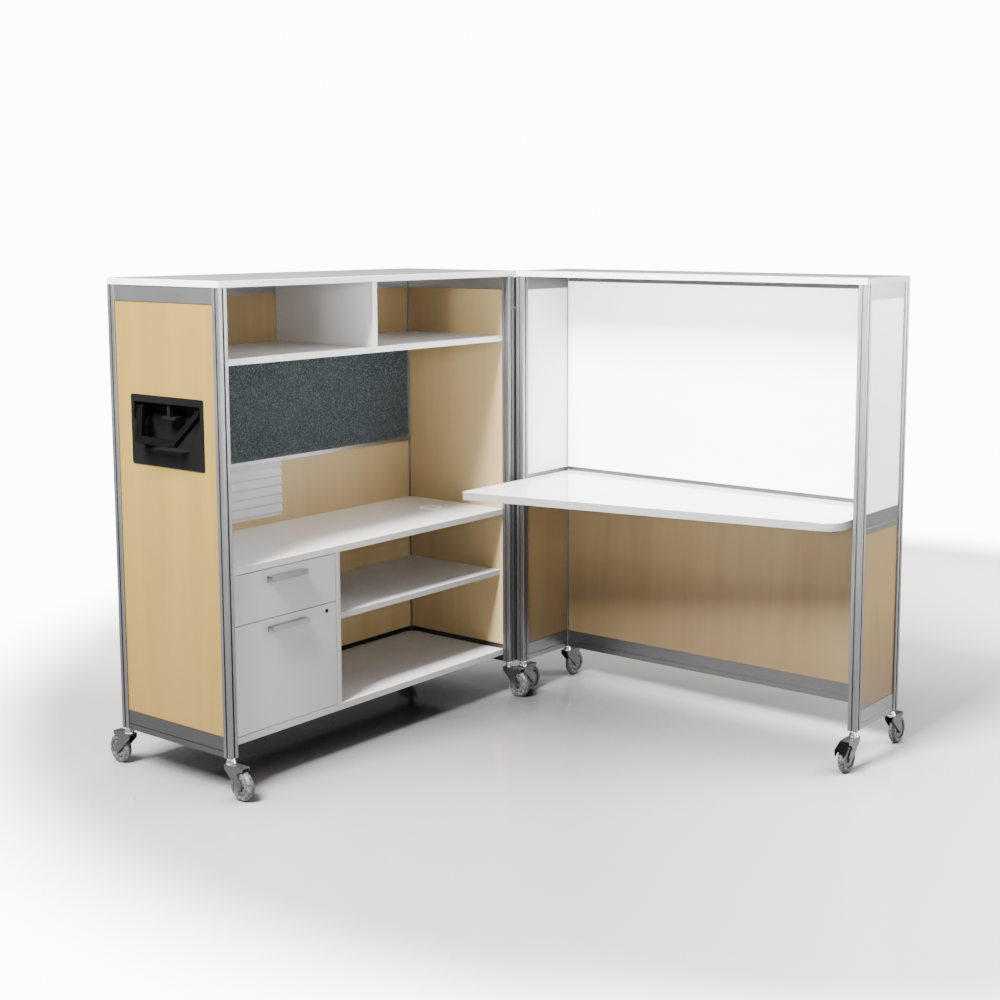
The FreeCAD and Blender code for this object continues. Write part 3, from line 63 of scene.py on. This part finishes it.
class Graph:
    """Adds nodes to a node tree; its methods give back the output that a next one can take."""

    def __init__(self, tree):
        self.tree = tree
        self.coords = self.add("ShaderNodeTexCoord").outputs

    def add(self, kind, **settings):
        node = self.tree.nodes.new(kind)
        for setting, value in settings.items():
            setattr(node, setting, value)
        return node

    def feed(self, socket, source):
        """Links a socket to an output, or gives it a number, a vector or a colour."""
        if isinstance(source, bpy.types.NodeSocket):
            self.tree.links.new(source, socket)
        elif socket.type == "RGBA":
            socket.default_value = (*source, 1.0)
        else:
            socket.default_value = source

    def stretched(self, stretch):
        """Object coordinates, with each axis scaled by itself."""
        mapping = self.add("ShaderNodeMapping")
        self.feed(mapping.inputs["Vector"], self.coords["Object"])
        self.feed(mapping.inputs["Scale"], stretch)
        return mapping.outputs["Vector"]

    def noise(self, scale, detail, rough, stretch=(1, 1, 1), distortion=0.0):
        node = self.add("ShaderNodeTexNoise")
        self.feed(node.inputs["Vector"], self.stretched(stretch))
        self.feed(node.inputs["Scale"], scale)
        self.feed(node.inputs["Detail"], detail)
        self.feed(node.inputs["Roughness"], rough)
        self.feed(node.inputs["Distortion"], distortion)
        return node.outputs["Fac"]

    def cells(self, scale):
        node = self.add("ShaderNodeTexVoronoi")
        self.feed(node.inputs["Vector"], self.stretched((1, 1, 1)))
        self.feed(node.inputs["Scale"], scale)
        return node.outputs["Distance"]

    def ramp(self, source, *stops):
        """Colours at places between 0 and 1, and blends between them."""
        node = self.add("ShaderNodeValToRGB")
        while len(node.color_ramp.elements) < len(stops):
            node.color_ramp.elements.new(0.5)
        for element, (place, color) in zip(node.color_ramp.elements, stops):
            element.position = place
            element.color = (*color, 1.0)
        self.feed(node.inputs["Fac"], source)
        return node.outputs["Color"]

    def spread(self, source, to=(0.0, 1.0), over=(0.0, 1.0), soft=False):
        """Maps the range `over` of a value onto the range `to`, and stops at its ends."""
        node = self.add("ShaderNodeMapRange")
        if soft:
            node.interpolation_type = "SMOOTHSTEP"
        self.feed(node.inputs["Value"], source)
        self.feed(node.inputs["From Min"], over[0])
        self.feed(node.inputs["From Max"], over[1])
        self.feed(node.inputs["To Min"], to[0])
        self.feed(node.inputs["To Max"], to[1])
        return node.outputs["Result"]

    def mixed(self, factor, first, second, blend="MIX"):
        """Blends two colours."""
        node = self.add("ShaderNodeMix", data_type="RGBA", blend_type=blend)
        self.feed(node.inputs["Factor"], factor)
        self.feed(node.inputs[MIX_FIRST], first)
        self.feed(node.inputs[MIX_SECOND], second)
        return node.outputs[MIX_RESULT]

    def switched(self, factor, first, second):
        """Blends two numbers."""
        node = self.add("ShaderNodeMix")
        self.feed(node.inputs["Factor"], factor)
        self.feed(node.inputs["A"], first)
        self.feed(node.inputs["B"], second)
        return node.outputs["Result"]

    def times(self, first, second):
        node = self.add("ShaderNodeMath", operation="MULTIPLY")
        self.feed(node.inputs[0], first)
        self.feed(node.inputs[1], second)
        return node.outputs[0]

    def measured(self, operation, source, other):
        """One number from two vectors, such as their dot product or distance."""
        node = self.add("ShaderNodeVectorMath", operation=operation)
        self.feed(node.inputs[0], source)
        self.feed(node.inputs[1], other)
        return node.outputs["Value"]

    def along(self, source, axis):
        """One component of a vector."""
        node = self.add("ShaderNodeSeparateXYZ")
        self.feed(node.inputs[0], source)
        return node.outputs[axis]

    def graded(self, first, second, axis, places):
        """Passes from one colour to another along an object's axis, between two places."""
        place = self.along(self.coords["Object"], axis)
        return self.mixed(self.spread(place, over=places), first, second)

    def ray(self, kind):
        """1 for rays of one kind, such as Camera, and 0 for the others."""
        return self.add("ShaderNodeLightPath").outputs["Is %s Ray" % kind]


class Surface(Graph):
    """A principled material whose colour, roughness and bump come from textures."""

    def __init__(self, name, color, roughness, metallic=0.0, specular=0.5):
        self.material = bpy.data.materials.new(name)
        self.material.use_nodes = True
        super().__init__(self.material.node_tree)
        self.shader = self.tree.nodes["Principled BSDF"]
        self.normal = None
        self.set("Base Color", color)
        self.set("Roughness", roughness)
        self.set("Metallic", metallic)
        self.set("Specular IOR Level", specular)

    def set(self, socket, source):
        self.feed(self.shader.inputs[socket], source)

    def bump(self, source, strength, depth):
        """Adds relief, on top of any that was added before."""
        node = self.add("ShaderNodeBump")
        self.feed(node.inputs["Height"], source)
        self.feed(node.inputs["Strength"], strength)
        self.feed(node.inputs["Distance"], depth)
        if self.normal is not None:
            self.feed(node.inputs["Normal"], self.normal)
        self.normal = node.outputs["Normal"]
        self.set("Normal", self.normal)


def tinted(color, factors):
    """A colour with each channel multiplied, kept at white or below."""
    return tuple(min(1.0, channel * factor) for channel, factor in zip(color, factors))


def scaled(color, factor):
    return tinted(color, (factor, factor, factor))


def wood(name, shade, painted_shades=()):
    """Pale maple laminate with faint upright figure.

    Each painted shade is a darker colour that stands in for shade, the axis along which the
    wood passes to it, and the two places.
    """
    m = Surface(name, shade, roughness=0.42, specular=0.4)
    figure = m.noise(3.2, detail=5.0, rough=0.6, stretch=(2.6, 2.6, 0.22), distortion=0.6)
    fine = m.noise(46.0, detail=4.0, rough=0.6, stretch=(5.0, 5.0, 0.16), distortion=0.3)
    cloud = m.noise(1.3, detail=2.0, rough=0.5, stretch=(1.2, 1.2, 0.5))
    dark = tinted(shade, (0.90, 0.87, 0.82))
    light = tinted(shade, (1.05, 1.05, 1.06))
    base = m.ramp(figure, (0.3, dark), (0.55, shade), (0.75, light))
    grained = m.mixed(m.spread(fine, to=(0.0, 0.35), over=(0.45, 0.75)), base, dark)
    clouded = m.mixed(m.spread(cloud, to=(0.0, 0.22), over=(0.4, 0.7)), grained, light)
    # Painted shade: the wood is darkened towards each painted shade, between its places.
    for other, axis, places in painted_shades:
        share = tuple(there / here for there, here in zip(other, shade))
        clouded = m.mixed(1.0, clouded, m.graded(WHITE, share, axis, places), "MULTIPLY")
    m.set("Base Color", clouded)
    m.set("Roughness", m.spread(fine, to=(0.36, 0.5)))
    m.bump(fine, strength=0.05, depth=0.0002)
    return m.material


def aluminium(name, shade, upright=False, upper=None, gloss=0.35):
    """Satin anodised extrusion with fine draw lines along its run; upper is its painted shade high
    up, lighter than low down, as painted light and shade.
    """
    m = Surface(name, shade, gloss, metallic=1.0)
    stretch = (40.0, 40.0, 0.5) if upright else (2.0, 2.0, 60.0)
    lines = m.noise(14.0, detail=4.0, rough=0.6, stretch=stretch)
    cloud = m.noise(5.0, detail=3.0, rough=0.5)
    drawn_and_shaded = m.mixed(m.spread(lines, to=(0.0, 0.5), over=(0.4, 0.7)), shade, scaled(shade, 0.9))
    # Painted light and shade: lighter going up, darker low down.
    if upper:
        drawn_and_shaded = m.graded(drawn_and_shaded, upper, "Z", (0.3, 1.2))
    m.set("Base Color", drawn_and_shaded)
    m.set("Roughness", m.spread(cloud, to=(gloss * 0.92, gloss * 1.08), over=(0.3, 0.7)))
    m.bump(lines, strength=0.015, depth=0.0001)
    return m.material


def laminate(name, shade, gloss, speckle=0.03, edge=None):
    """Hard white laminate with slight mottle and orange peel; edge is the painted colour of its
    sides, apart from its top, as painted light and shade.
    """
    m = Surface(name, shade, gloss, specular=0.55)
    peel = m.noise(320.0, detail=2.0, rough=0.5)
    cloud = m.noise(6.0, detail=3.0, rough=0.6)
    mottled = m.mixed(m.spread(cloud, over=(0.35, 0.7)), shade, scaled(shade, 1 - speckle))
    # Painted light and shade: the sides get a colour apart from the top.
    if edge:
        facing_up = m.along(m.coords["Normal"], "Z")
        mottled = m.mixed(m.spread(facing_up, over=(0.4, 0.8)), edge, mottled)
    m.set("Base Color", mottled)
    m.set("Roughness", m.spread(cloud, to=(gloss * 0.85, gloss * 1.2), over=(0.3, 0.7)))
    m.bump(peel, strength=0.02, depth=0.00005)
    return m.material


def plastic(name, shade, gloss, specular=0.5):
    """Moulded plastic with a fine spark-eroded grain."""
    m = Surface(name, shade, gloss, specular=specular)
    grains = m.cells(880.0)
    cloud = m.noise(9.0, detail=3.0, rough=0.5)
    clouded = m.spread(cloud, to=(0.0, 0.7), over=(0.35, 0.7))
    m.set("Base Color", m.mixed(clouded, shade, scaled(shade, 1.3)))
    m.set("Roughness", m.spread(cloud, to=(gloss * 0.9, gloss * 1.15), over=(0.3, 0.7)))
    m.bump(grains, strength=0.06, depth=0.0002)
    return m.material


def metal(name, shade, gloss, scratch=0.05):
    """Plated or polished metal with light wear."""
    m = Surface(name, shade, gloss, metallic=1.0)
    wear = m.noise(60.0, detail=4.0, rough=0.6, stretch=(1.0, 1.0, 4.0))
    cloud = m.noise(12.0, detail=3.0, rough=0.5)
    clouded = m.spread(cloud, to=(0.0, 0.6), over=(0.35, 0.7))
    m.set("Base Color", m.mixed(clouded, shade, scaled(shade, 0.82)))
    m.set("Roughness", m.spread(wear, to=(gloss * 0.7, gloss * 1.4 + 0.02), over=(0.35, 0.7)))
    m.bump(wear, strength=scratch, depth=0.0001)
    return m.material


def tread(name):
    """Grey rubber with fine dark and pale mottling."""
    m = Surface(name, (0.06, 0.06, 0.06), roughness=0.62)
    speck = m.noise(420.0, detail=4.0, rough=0.7)
    blotch = m.noise(150.0, detail=3.0, rough=0.6)
    base = m.ramp(blotch, (0.38, (0.004, 0.004, 0.004)), (0.5, (0.022, 0.022, 0.022)),
                  (0.62, (0.075, 0.075, 0.075)))
    specked = m.spread(speck, to=(0.0, 0.6), over=(0.5, 0.72))
    m.set("Base Color", m.mixed(specked, base, (0.07, 0.07, 0.07)))
    m.set("Roughness", m.spread(speck, to=(0.5, 0.75)))
    m.bump(speck, strength=0.12, depth=0.0004)
    return m.material


def tack_fabric(name):
    """Dense felt in mixed dark teal and pale threads."""
    m = Surface(name, (0.035, 0.055, 0.062), roughness=0.95, specular=0.15)
    m.set("Sheen Weight", 0.25)
    m.set("Sheen Roughness", 0.5)
    fleck = m.noise(200.0, detail=4.0, rough=0.75)
    cross = m.noise(150.0, detail=2.0, rough=0.6, stretch=(1.0, 1.0, 2.2))
    cloud = m.noise(22.0, detail=3.0, rough=0.6)
    base = m.ramp(fleck, (0.36, (0.005, 0.008, 0.010)), (0.5, (0.023, 0.032, 0.037)),
                  (0.60, (0.078, 0.100, 0.106)), (0.74, (0.26, 0.30, 0.31)))
    crossed = m.spread(cross, to=(0.0, 0.75), over=(0.42, 0.62))
    shaded = m.mixed(crossed, base, (0.017, 0.024, 0.028))
    clouded = m.spread(cloud, to=(0.0, 0.35), over=(0.4, 0.7))
    m.set("Base Color", m.mixed(clouded, shaded, (0.042, 0.052, 0.057)))
    m.bump(fleck, strength=0.5, depth=0.0008)
    m.bump(cross, strength=0.35, depth=0.0006)
    return m.material


# Painted light for the rails high up.
UPPER_RAIL_PAINTED_LIGHT = (0.42, 0.424, 0.43)
# Painted shade for the maple: darker colours for the outer face of the desk's end and for the
# lower parts of the desk's panels and of the storage's left end.
DESK_END_PAINTED_SHADE = (0.17, 0.103, 0.024)
LOW_DESK_PAINTED_SHADE = (0.103, 0.070, 0.032)
LOW_END_PAINTED_SHADE = (0.128, 0.080, 0.015)

# Each look has its material, the ease of its sharp edges in millimetres, and the nodes that wear
# it. Pieces of one finish are painted in different shades, as painted light and shade for the
# light where they stand.
LOOKS = {
    # Painted light and shade: the satin aluminium pieces are one finish, each painted in its own
    # shade for the light where it stands.
    "extrusion": (
        aluminium("satin_extrusion", (0.13, 0.131, 0.133), upright=True,
                  upper=(0.25, 0.252, 0.256), gloss=0.5),
        0.25, ["storage_posts", "desk_posts"]),
    "end_rail": (
        aluminium("satin_end_rail", (0.075, 0.076, 0.078), upper=UPPER_RAIL_PAINTED_LIGHT),
        0, ["storage_end_rails"]),
    "back_rail": (
        aluminium("satin_back_rail", (0.035, 0.0355, 0.036), upper=UPPER_RAIL_PAINTED_LIGHT),
        0, ["storage_back_rails"]),
    "rail": (
        aluminium("satin_rail", (0.15, 0.152, 0.154)),
        0, ["desk_end_rails", "desk_back_rails"]),
    "pull": (
        aluminium("satin_pull", (0.22, 0.223, 0.226)),
        0.4, ["top_drawer_pull", "file_drawer_pull"]),
    # Painted light and shade: the three maple looks are one laminate, each painted in its own
    # shade for the light where its pieces stand.
    "wood": (
        wood("maple_laminate", (0.40, 0.29, 0.145)),
        0.3, ["storage_right_panel", "storage_back_panels"]),
    "wood_end": (
        wood("maple_laminate_end", (0.165, 0.106, 0.021), [(LOW_END_PAINTED_SHADE, "Z", (0.9, 0.2))]),
        0.3, ["storage_left_panel"]),
    "wood_desk": (
        wood("maple_laminate_desk", (0.205, 0.145, 0.069),
             [(DESK_END_PAINTED_SHADE, "Y", (-0.91, -0.93)), (LOW_DESK_PAINTED_SHADE, "Z", (0.5, 0.2))]),
        0.3, ["desk_lower_panels"]),
    # Painted light and shade: slab, worktop, shelf, divider, side and drawer pieces are one white
    # laminate, each painted in its own shade for the light where it stands, and the slab, worktop,
    # counter and shelf have their sides painted apart from their tops.
    "top": (
        laminate("white_slab", (0.17, 0.17, 0.17), 0.18, edge=(0.58, 0.58, 0.578)),
        1.2, ["storage_top", "desk_top"]),
    "worktop": (
        laminate("white_worktop", (0.60, 0.60, 0.60), 0.10, edge=(0.17, 0.17, 0.169)),
        1.0, ["worktop"]),
    "counter": (
        laminate("white_counter", (0.93, 0.92, 0.875), 0.10, edge=(0.36, 0.36, 0.355)),
        1.0, ["counter"]),
    "shelf": (
        laminate("white_shelf", (0.62, 0.605, 0.59), 0.36, edge=(0.27, 0.27, 0.268)),
        0.8, ["middle_shelf", "bottom_shelf"]),
    "divider": (
        laminate("white_divider", (0.66, 0.65, 0.64), 0.36),
        0.8, ["upper_shelf", "shelf_divider"]),
    "side": (
        laminate("white_side", (0.28, 0.28, 0.278), 0.36),
        0.8, ["pedestal_sides"]),
    "whiteboard": (
        laminate("enamel_board", (0.93, 0.93, 0.935), 0.16, speckle=0.01),
        0.6, ["whiteboard"]),
    "pale_panel": (
        laminate("pale_panel", (0.84, 0.84, 0.85), 0.36),
        0.3, ["desk_upper_panels"]),
    "drawer": (
        laminate("drawer_laminate", (0.29, 0.29, 0.292), 0.33),
        0.8, ["top_drawer_front", "file_drawer_front"]),
    "drawer_box": (
        laminate("drawer_box_board", (0.66, 0.66, 0.65), 0.45),
        0, ["top_drawer_box", "file_drawer_box"]),
    "tile": (
        plastic("slat_tile_plastic", (0.42, 0.43, 0.43), 0.42),
        0.4, ["slat_tile"]),
    "cap": (
        plastic("grommet_cap_plastic", (0.62, 0.615, 0.59), 0.36),
        0, ["grommet_cap"]),
    "grommet": (
        plastic("grommet_plastic", (0.82, 0.82, 0.82), 0.36),
        0, ["cable_grommet"]),
    "black": (
        plastic("black_plastic", (0.0030, 0.0030, 0.0031), 0.55, specular=0.05),
        0.8, ["handle_dish"]),
    # Painted shade: the bail is the dish's black plastic, painted darker where it catches more
    # light.
    "bail": (
        plastic("bail_plastic", (0.0008, 0.0008, 0.0009), 0.5, specular=0.03),
        0.8, ["bail_handle"]),
    "pedal": (
        plastic("pedal_plastic", (0.0012, 0.0012, 0.0013), 0.55, specular=0.02),
        0, ["brake_pedal"]),
    "tread": (
        tread("mottled_tread"),
        0, [corner + "_wheel" for corner in CASTERS]),
    "zinc": (
        metal("zinc_sheet", (0.09, 0.09, 0.092), 0.42),
        0.3, ["worktop_brackets", "drawer_runners", "top_drawer_slides", "file_drawer_slides",
              *(corner + "_fork" for corner in CASTERS)]),
    "chrome": (
        metal("chrome_plate", (0.82, 0.83, 0.84), 0.08, scratch=0.02),
        0, ["storage_caster_stems", "desk_caster_stems"]),
    "hinge": (
        metal("black_hinge", (0.03, 0.03, 0.032), 0.4),
        0, ["hinge_leaf_storage", "hinge_leaf_desk", "hinge_pin"]),
    "lock": (
        metal("lock_steel", (0.02, 0.02, 0.021), 0.42),
        0, ["lock_plug"]),
    "fabric": (
        tack_fabric("tack_fabric"),
        0, ["tackboard"]),
}
materials = {look: material for look, (material, _, _) in LOOKS.items()}

WELD_REACH = 0.02 * MM
EASE_SEGMENTS = 2
EASE_ANGLE = math.radians(40)


def dress(obj, material, width):
    """Gives a CAD node its material, and eases its sharp edges a little."""
    obj.data.materials.clear()
    obj.data.materials.append(material)
    if width:
        weld = obj.modifiers.new("weld", "WELD")
        weld.merge_threshold = WELD_REACH
        ease = obj.modifiers.new("ease", "BEVEL")
        ease.width = width
        ease.segments = EASE_SEGMENTS
        ease.limit_method = "ANGLE"
        ease.angle_limit = EASE_ANGLE
        ease.harden_normals = False
        ease.use_clamp_overlap = True


# The level directions of the photograph's view.
FORWARD = (0.794, 0.608, 0.0)
RIGHTWARD = (0.608, -0.794, 0.0)

# The middle of the floor's visible part, the distances from it between which the floor fades, how
# far the floor reaches, and how far off a surface still casts the floor's painted shade.
FLOOR_CENTRE = (1.25, -0.1, 0.0)
FLOOR_FADE = (2.4, 3.1)
FLOOR_REACH = 40.0
SHELTER_REACH = 1.2


def floor_material():
    """A pale polished floor, painted with shade and light, that fades into the sweep around it."""
    m = Surface("studio_floor", (0.5, 0.49, 0.485), roughness=0.14)
    place = m.coords["Object"]
    m.set("Roughness", m.spread(m.noise(0.7, detail=3.0, rough=0.5), to=(0.10, 0.17)))
    # Painted shade: for the camera, the floor is painted nearly black where nearby surfaces
    # shelter it, and its reflections fade out there.
    shelter = m.add("ShaderNodeAmbientOcclusion", samples=12)
    m.feed(shelter.inputs["Distance"], SHELTER_REACH)
    open_sky = m.spread(shelter.outputs["AO"], over=(0.1, 0.83))
    # Painted light: the floor is painted paler rightwards and beyond the object, where the
    # object's shadows fall on it.
    rightward = m.spread(m.measured("DOT_PRODUCT", place, RIGHTWARD), over=(0.2, 2.0))
    beyond = m.spread(m.measured("DOT_PRODUCT", place, FORWARD), over=(0.55, 1.15))
    pale = m.mixed(rightward, (0.26, 0.249, 0.245), (0.56, 0.537, 0.53))
    painted_light_beyond = m.mixed(beyond, WHITE, (1.8, 1.8, 1.8))
    painted_floor = m.mixed(open_sky, (0.005, 0.005, 0.005), m.mixed(1.0, pale, painted_light_beyond, "MULTIPLY"))
    m.set("Base Color", m.mixed(m.ray("Camera"), (0.22, 0.21, 0.21), painted_floor))
    m.set("Specular IOR Level", m.spread(open_sky, to=(0.01, 0.5)))
    away = m.measured("DISTANCE", place, FLOOR_CENTRE)
    fade = m.spread(away, over=FLOOR_FADE, soft=True)
    surface = m.add("ShaderNodeMixShader")
    m.feed(surface.inputs[0], m.times(fade, m.ray("Camera")))
    m.feed(surface.inputs[1], m.shader.outputs[0])
    m.feed(surface.inputs[2], m.add("ShaderNodeBsdfTransparent").outputs[0])
    m.feed(m.tree.nodes["Material Output"].inputs["Surface"], surface.outputs[0])
    return m.material


def make_floor():
    mesh = bpy.data.meshes.new("studio_floor")
    square = ((-1, -1), (1, -1), (1, 1), (-1, 1))
    corners = [(x * FLOOR_REACH, y * FLOOR_REACH, 0) for x, y in square]
    mesh.from_pydata(corners, [], [(0, 1, 2, 3)])
    mesh.materials.append(floor_material())
    floor = bpy.data.objects.new("studio_floor", mesh)
    bpy.context.scene.collection.objects.link(floor)


# The sweep's brightness, as the camera sees it and as polished surfaces mirror it.
SWEEP_SEEN = 13.0
SWEEP_MIRRORED = 0.5


def make_world():
    """A white sweep for the camera, and soft light that comes mostly from above."""
    world = bpy.data.worlds.new("studio")
    world.use_nodes = True
    g = Graph(world.node_tree)
    height = g.along(g.coords["Generated"], "Z")
    ambient = g.spread(height, to=(0.09, 0.7), over=(-0.1, 1.0))
    mirrored = g.switched(g.ray("Glossy"), ambient, SWEEP_MIRRORED)
    background = g.tree.nodes["Background"]
    g.feed(background.inputs["Color"], WHITE)
    g.feed(background.inputs["Strength"], g.switched(g.ray("Camera"), mirrored, SWEEP_SEEN))
    bpy.context.scene.world = world


# Each softbox: its place, the point it faces, its size, its power in watts and its spread in
# degrees.
LIGHTS = {
    "key": ((-4.6, 0.1, 6.1), (0.2, -0.2, 0.6), (2.3, 3.0), 5300, 180),
    "side": ((3.2, -3.4, 1.9), (0.7, -0.93, 0.9), (2.0, 2.0), 420, 180),
    "front": ((-2.4, -5.0, 1.5), (-0.2, 0.4, 1.0), (2.6, 2.0), 115, 180),
    "board": ((-4.4, -1.6, 1.75), (0.76, -0.42, 1.43), (1.0, 0.5), 17, 24),
    "overhead": ((-0.4, -0.4, 5.2), (0.0, 0.0, 0.0), (4.0, 4.0), 60, 180),
}


def make_lights():
    for name, (place, target, (width, height), power, spread) in LIGHTS.items():
        light = bpy.data.lights.new(name, "AREA")
        light.shape = "RECTANGLE"
        light.size, light.size_y = width, height
        light.energy = power
        light.spread = math.radians(spread)
        obj = bpy.data.objects.new(name, light)
        obj.location = place
        heading = Vector(target) - Vector(place)
        obj.rotation_euler = heading.to_track_quat("-Z", "Y").to_euler()
        bpy.context.scene.collection.objects.link(obj)


# The camera as solved from the photograph's straight edges.
CAMERA_PLACE = (-3.70471, -2.96675, 1.6306)
CAMERA_YAW, CAMERA_PITCH = math.radians(-52.563), math.radians(-7.494)
CAMERA_LENS, CAMERA_SENSOR = 56.484, 36.0
CAMERA_SHIFT = (-0.04373, -0.06709)


def make_camera():
    camera = bpy.data.cameras.new("camera")
    camera.sensor_width = CAMERA_SENSOR
    camera.lens = CAMERA_LENS
    camera.shift_x, camera.shift_y = CAMERA_SHIFT
    camera.clip_end = 200.0
    obj = bpy.data.objects.new("camera", camera)
    level = math.cos(CAMERA_PITCH)
    heading = Vector((-math.sin(CAMERA_YAW) * level, math.cos(CAMERA_YAW) * level,
                      math.sin(CAMERA_PITCH)))
    obj.location = CAMERA_PLACE
    obj.rotation_euler = heading.to_track_quat("-Z", "Y").to_euler()
    bpy.context.scene.collection.objects.link(obj)
    bpy.context.scene.camera = obj


def add_piece(name, bm, look, smooth=True):
    """Makes an object of a mesh that was built here, in one of the looks."""
    mesh = bpy.data.meshes.new(name)
    bm.to_mesh(mesh)
    bm.free()
    for face in mesh.polygons:
        face.use_smooth = smooth
    mesh.materials.append(materials[look])
    obj = bpy.data.objects.new(name, mesh)
    bpy.context.scene.collection.objects.link(obj)
    return obj


# The felt's grid, how deep its edges roll back, how far its face lies behind the solid's, and how
# high it ripples.
FELT_ACROSS, FELT_UP = 64, 22
FELT_ROLL = 3.0 * MM
FELT_SINK = 0.5 * MM
FELT_RIPPLE = 0.25 * MM


def make_tackboard():
    """A board wrapped in felt: soft rounded edges and a slightly uneven face."""
    low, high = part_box("tackboard")
    width, height = high.x - low.x, high.z - low.z
    bm = bmesh.new()
    grid = {}
    for i in range(FELT_ACROSS + 1):
        for k in range(FELT_UP + 1):
            u, w = i / FELT_ACROSS, k / FELT_UP
            rim = min(u * width, (1 - u) * width, w * height, (1 - w) * height)
            roll = FELT_ROLL * (1 - min(1.0, rim / (4 * FELT_ROLL))) ** 2
            ripple = FELT_RIPPLE * (math.sin(7.1 * u + 2.3 * w) + math.sin(3.0 * w + 11.0 * u))
            y = low.y + roll + FELT_SINK + ripple
            grid[i, k] = bm.verts.new((low.x + width * u, y, low.z + height * w))
    for i in range(FELT_ACROSS):
        for k in range(FELT_UP):
            bm.faces.new((grid[i, k], grid[i + 1, k], grid[i + 1, k + 1], grid[i, k + 1]))
    ring = [grid[i, 0] for i in range(FELT_ACROSS + 1)]
    ring += [grid[FELT_ACROSS, k] for k in range(1, FELT_UP + 1)]
    ring += [grid[i, FELT_UP] for i in range(FELT_ACROSS - 1, -1, -1)]
    ring += [grid[0, k] for k in range(FELT_UP - 1, 0, -1)]
    back = [bm.verts.new((v.co.x, high.y, v.co.z)) for v in ring]
    for i in range(len(ring)):
        j = (i + 1) % len(ring)
        bm.faces.new((ring[j], ring[i], back[i], back[j]))
    bm.faces.new(list(reversed(back)))
    bmesh.ops.recalc_face_normals(bm, faces=bm.faces)
    felt = add_piece("tackboard_felt", bm, "fabric")
    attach(felt, "storage_cabinet")
    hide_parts("tackboard")


# Each black strip of painted shade: the body that carries it, what it stands beside, and how far
# it reaches on X and on Y from the fold axis, in millimetres.
SHADE_STRIPS = {
    "hinge_shade_strip": ("desk_cabinet", "knuckles", (3.3, 6.34), (-1.95, 0.2)),
    "hinge_shade_strip_head": ("desk_cabinet", "slabs", (0.84, 6.34), (-2.95, 0.2)),
    "hinge_shade_strip_back": ("storage_cabinet", "knuckles", (-1.96, 0.94), (3.1, 5.1)),
    "hinge_shade_strip_head_back": ("storage_cabinet", "slabs", (-0.31, 2.14), (1.0, 3.5)),
}
SHADE_STRIP_GAP = 0.5 * MM
SHADE_STRIP_ROUND = 0.7 * MM


def make_shade_strips():
    """Black strips that close the view through the hinge: painted shade, dark sheets in its gaps.
    """
    pin_low, pin_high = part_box("hinge_pin")
    leaf_low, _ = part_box("hinge_leaf_desk")
    slab_low, slab_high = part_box("desk_top")
    axis = (pin_low + pin_high) / 2
    levels = {
        "knuckles": (leaf_low.z, slab_low.z - SHADE_STRIP_GAP),
        "slabs": (slab_low.z + SHADE_STRIP_GAP, slab_high.z - SHADE_STRIP_GAP),
    }
    for name, (body, level, reach_x, reach_y) in SHADE_STRIPS.items():
        ranges = (
            [axis.x + reach * MM for reach in reach_x],
            [axis.y + reach * MM for reach in reach_y],
            levels[level],
        )
        bm = bmesh.new()
        bmesh.ops.create_cube(bm, size=1.0)
        for v in bm.verts:
            v.co = [(start + end) / 2 + unit * (end - start)
                    for unit, (start, end) in zip(v.co, ranges)]
        upright = [e for e in bm.edges if abs(e.verts[0].co.z - e.verts[1].co.z) > MM]
        bmesh.ops.bevel(bm, geom=upright, offset=SHADE_STRIP_ROUND, segments=4, profile=0.5,
                        affect="EDGES")
        # Each strip is painted shade: a black sheet where the hinge shows only a shaded gap.
        shade_strip = add_piece(name, bm, "black", smooth=False)
        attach(shade_strip, body)


# A wheel disc's section, as radius and distance from the wheel's middle plane in millimetres.
DISC_SECTION = ((11.5, 5.0), (12.5, 8.2), (15.0, 9.4), (20.0, 9.8), (25.0, 9.4), (28.0, 8.2),
                (29.0, 5.0))
DISC_STEPS = 40


def turn_disc(bm, centre, axle, side):
    """Turns the section round an axle along X or Y (0 or 1), on one side of the wheel."""
    rings = []
    for radius, offset in DISC_SECTION:
        ring = []
        for step in range(DISC_STEPS):
            angle = 2 * math.pi * step / DISC_STEPS
            place = Vector((0, 0, 0))
            place[axle] = side * offset * MM
            place[1 - axle] = radius * MM * math.cos(angle)
            place.z = radius * MM * math.sin(angle)
            ring.append(bm.verts.new(centre + place))
        rings.append(ring)
    for inner, outer in zip(rings, rings[1:] + rings[:1]):
        for step in range(DISC_STEPS):
            after = (step + 1) % DISC_STEPS
            bm.faces.new((inner[step], inner[after], outer[after], outer[step]))


def make_wheel_faces():
    """Moulded discs that fill each wheel's sunk web, on both sides, round its hub."""
    for corner in CASTERS:
        low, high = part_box(corner + "_wheel")
        axle = 0 if high.x - low.x < high.y - low.y else 1
        bm = bmesh.new()
        for side in (-1, 1):
            turn_disc(bm, (low + high) / 2, axle, side)
        bmesh.ops.recalc_face_normals(bm, faces=bm.faces)
        face = add_piece(corner + "_wheel_face", bm, "tread")
        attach(face, corner + "_wheel_body")


for material, ease, names in LOOKS.values():
    for name in names:
        dress(nodes[name], material, ease * MM)
make_floor()
make_world()
make_lights()
make_camera()
make_tackboard()
make_shade_strips()
make_wheel_faces()
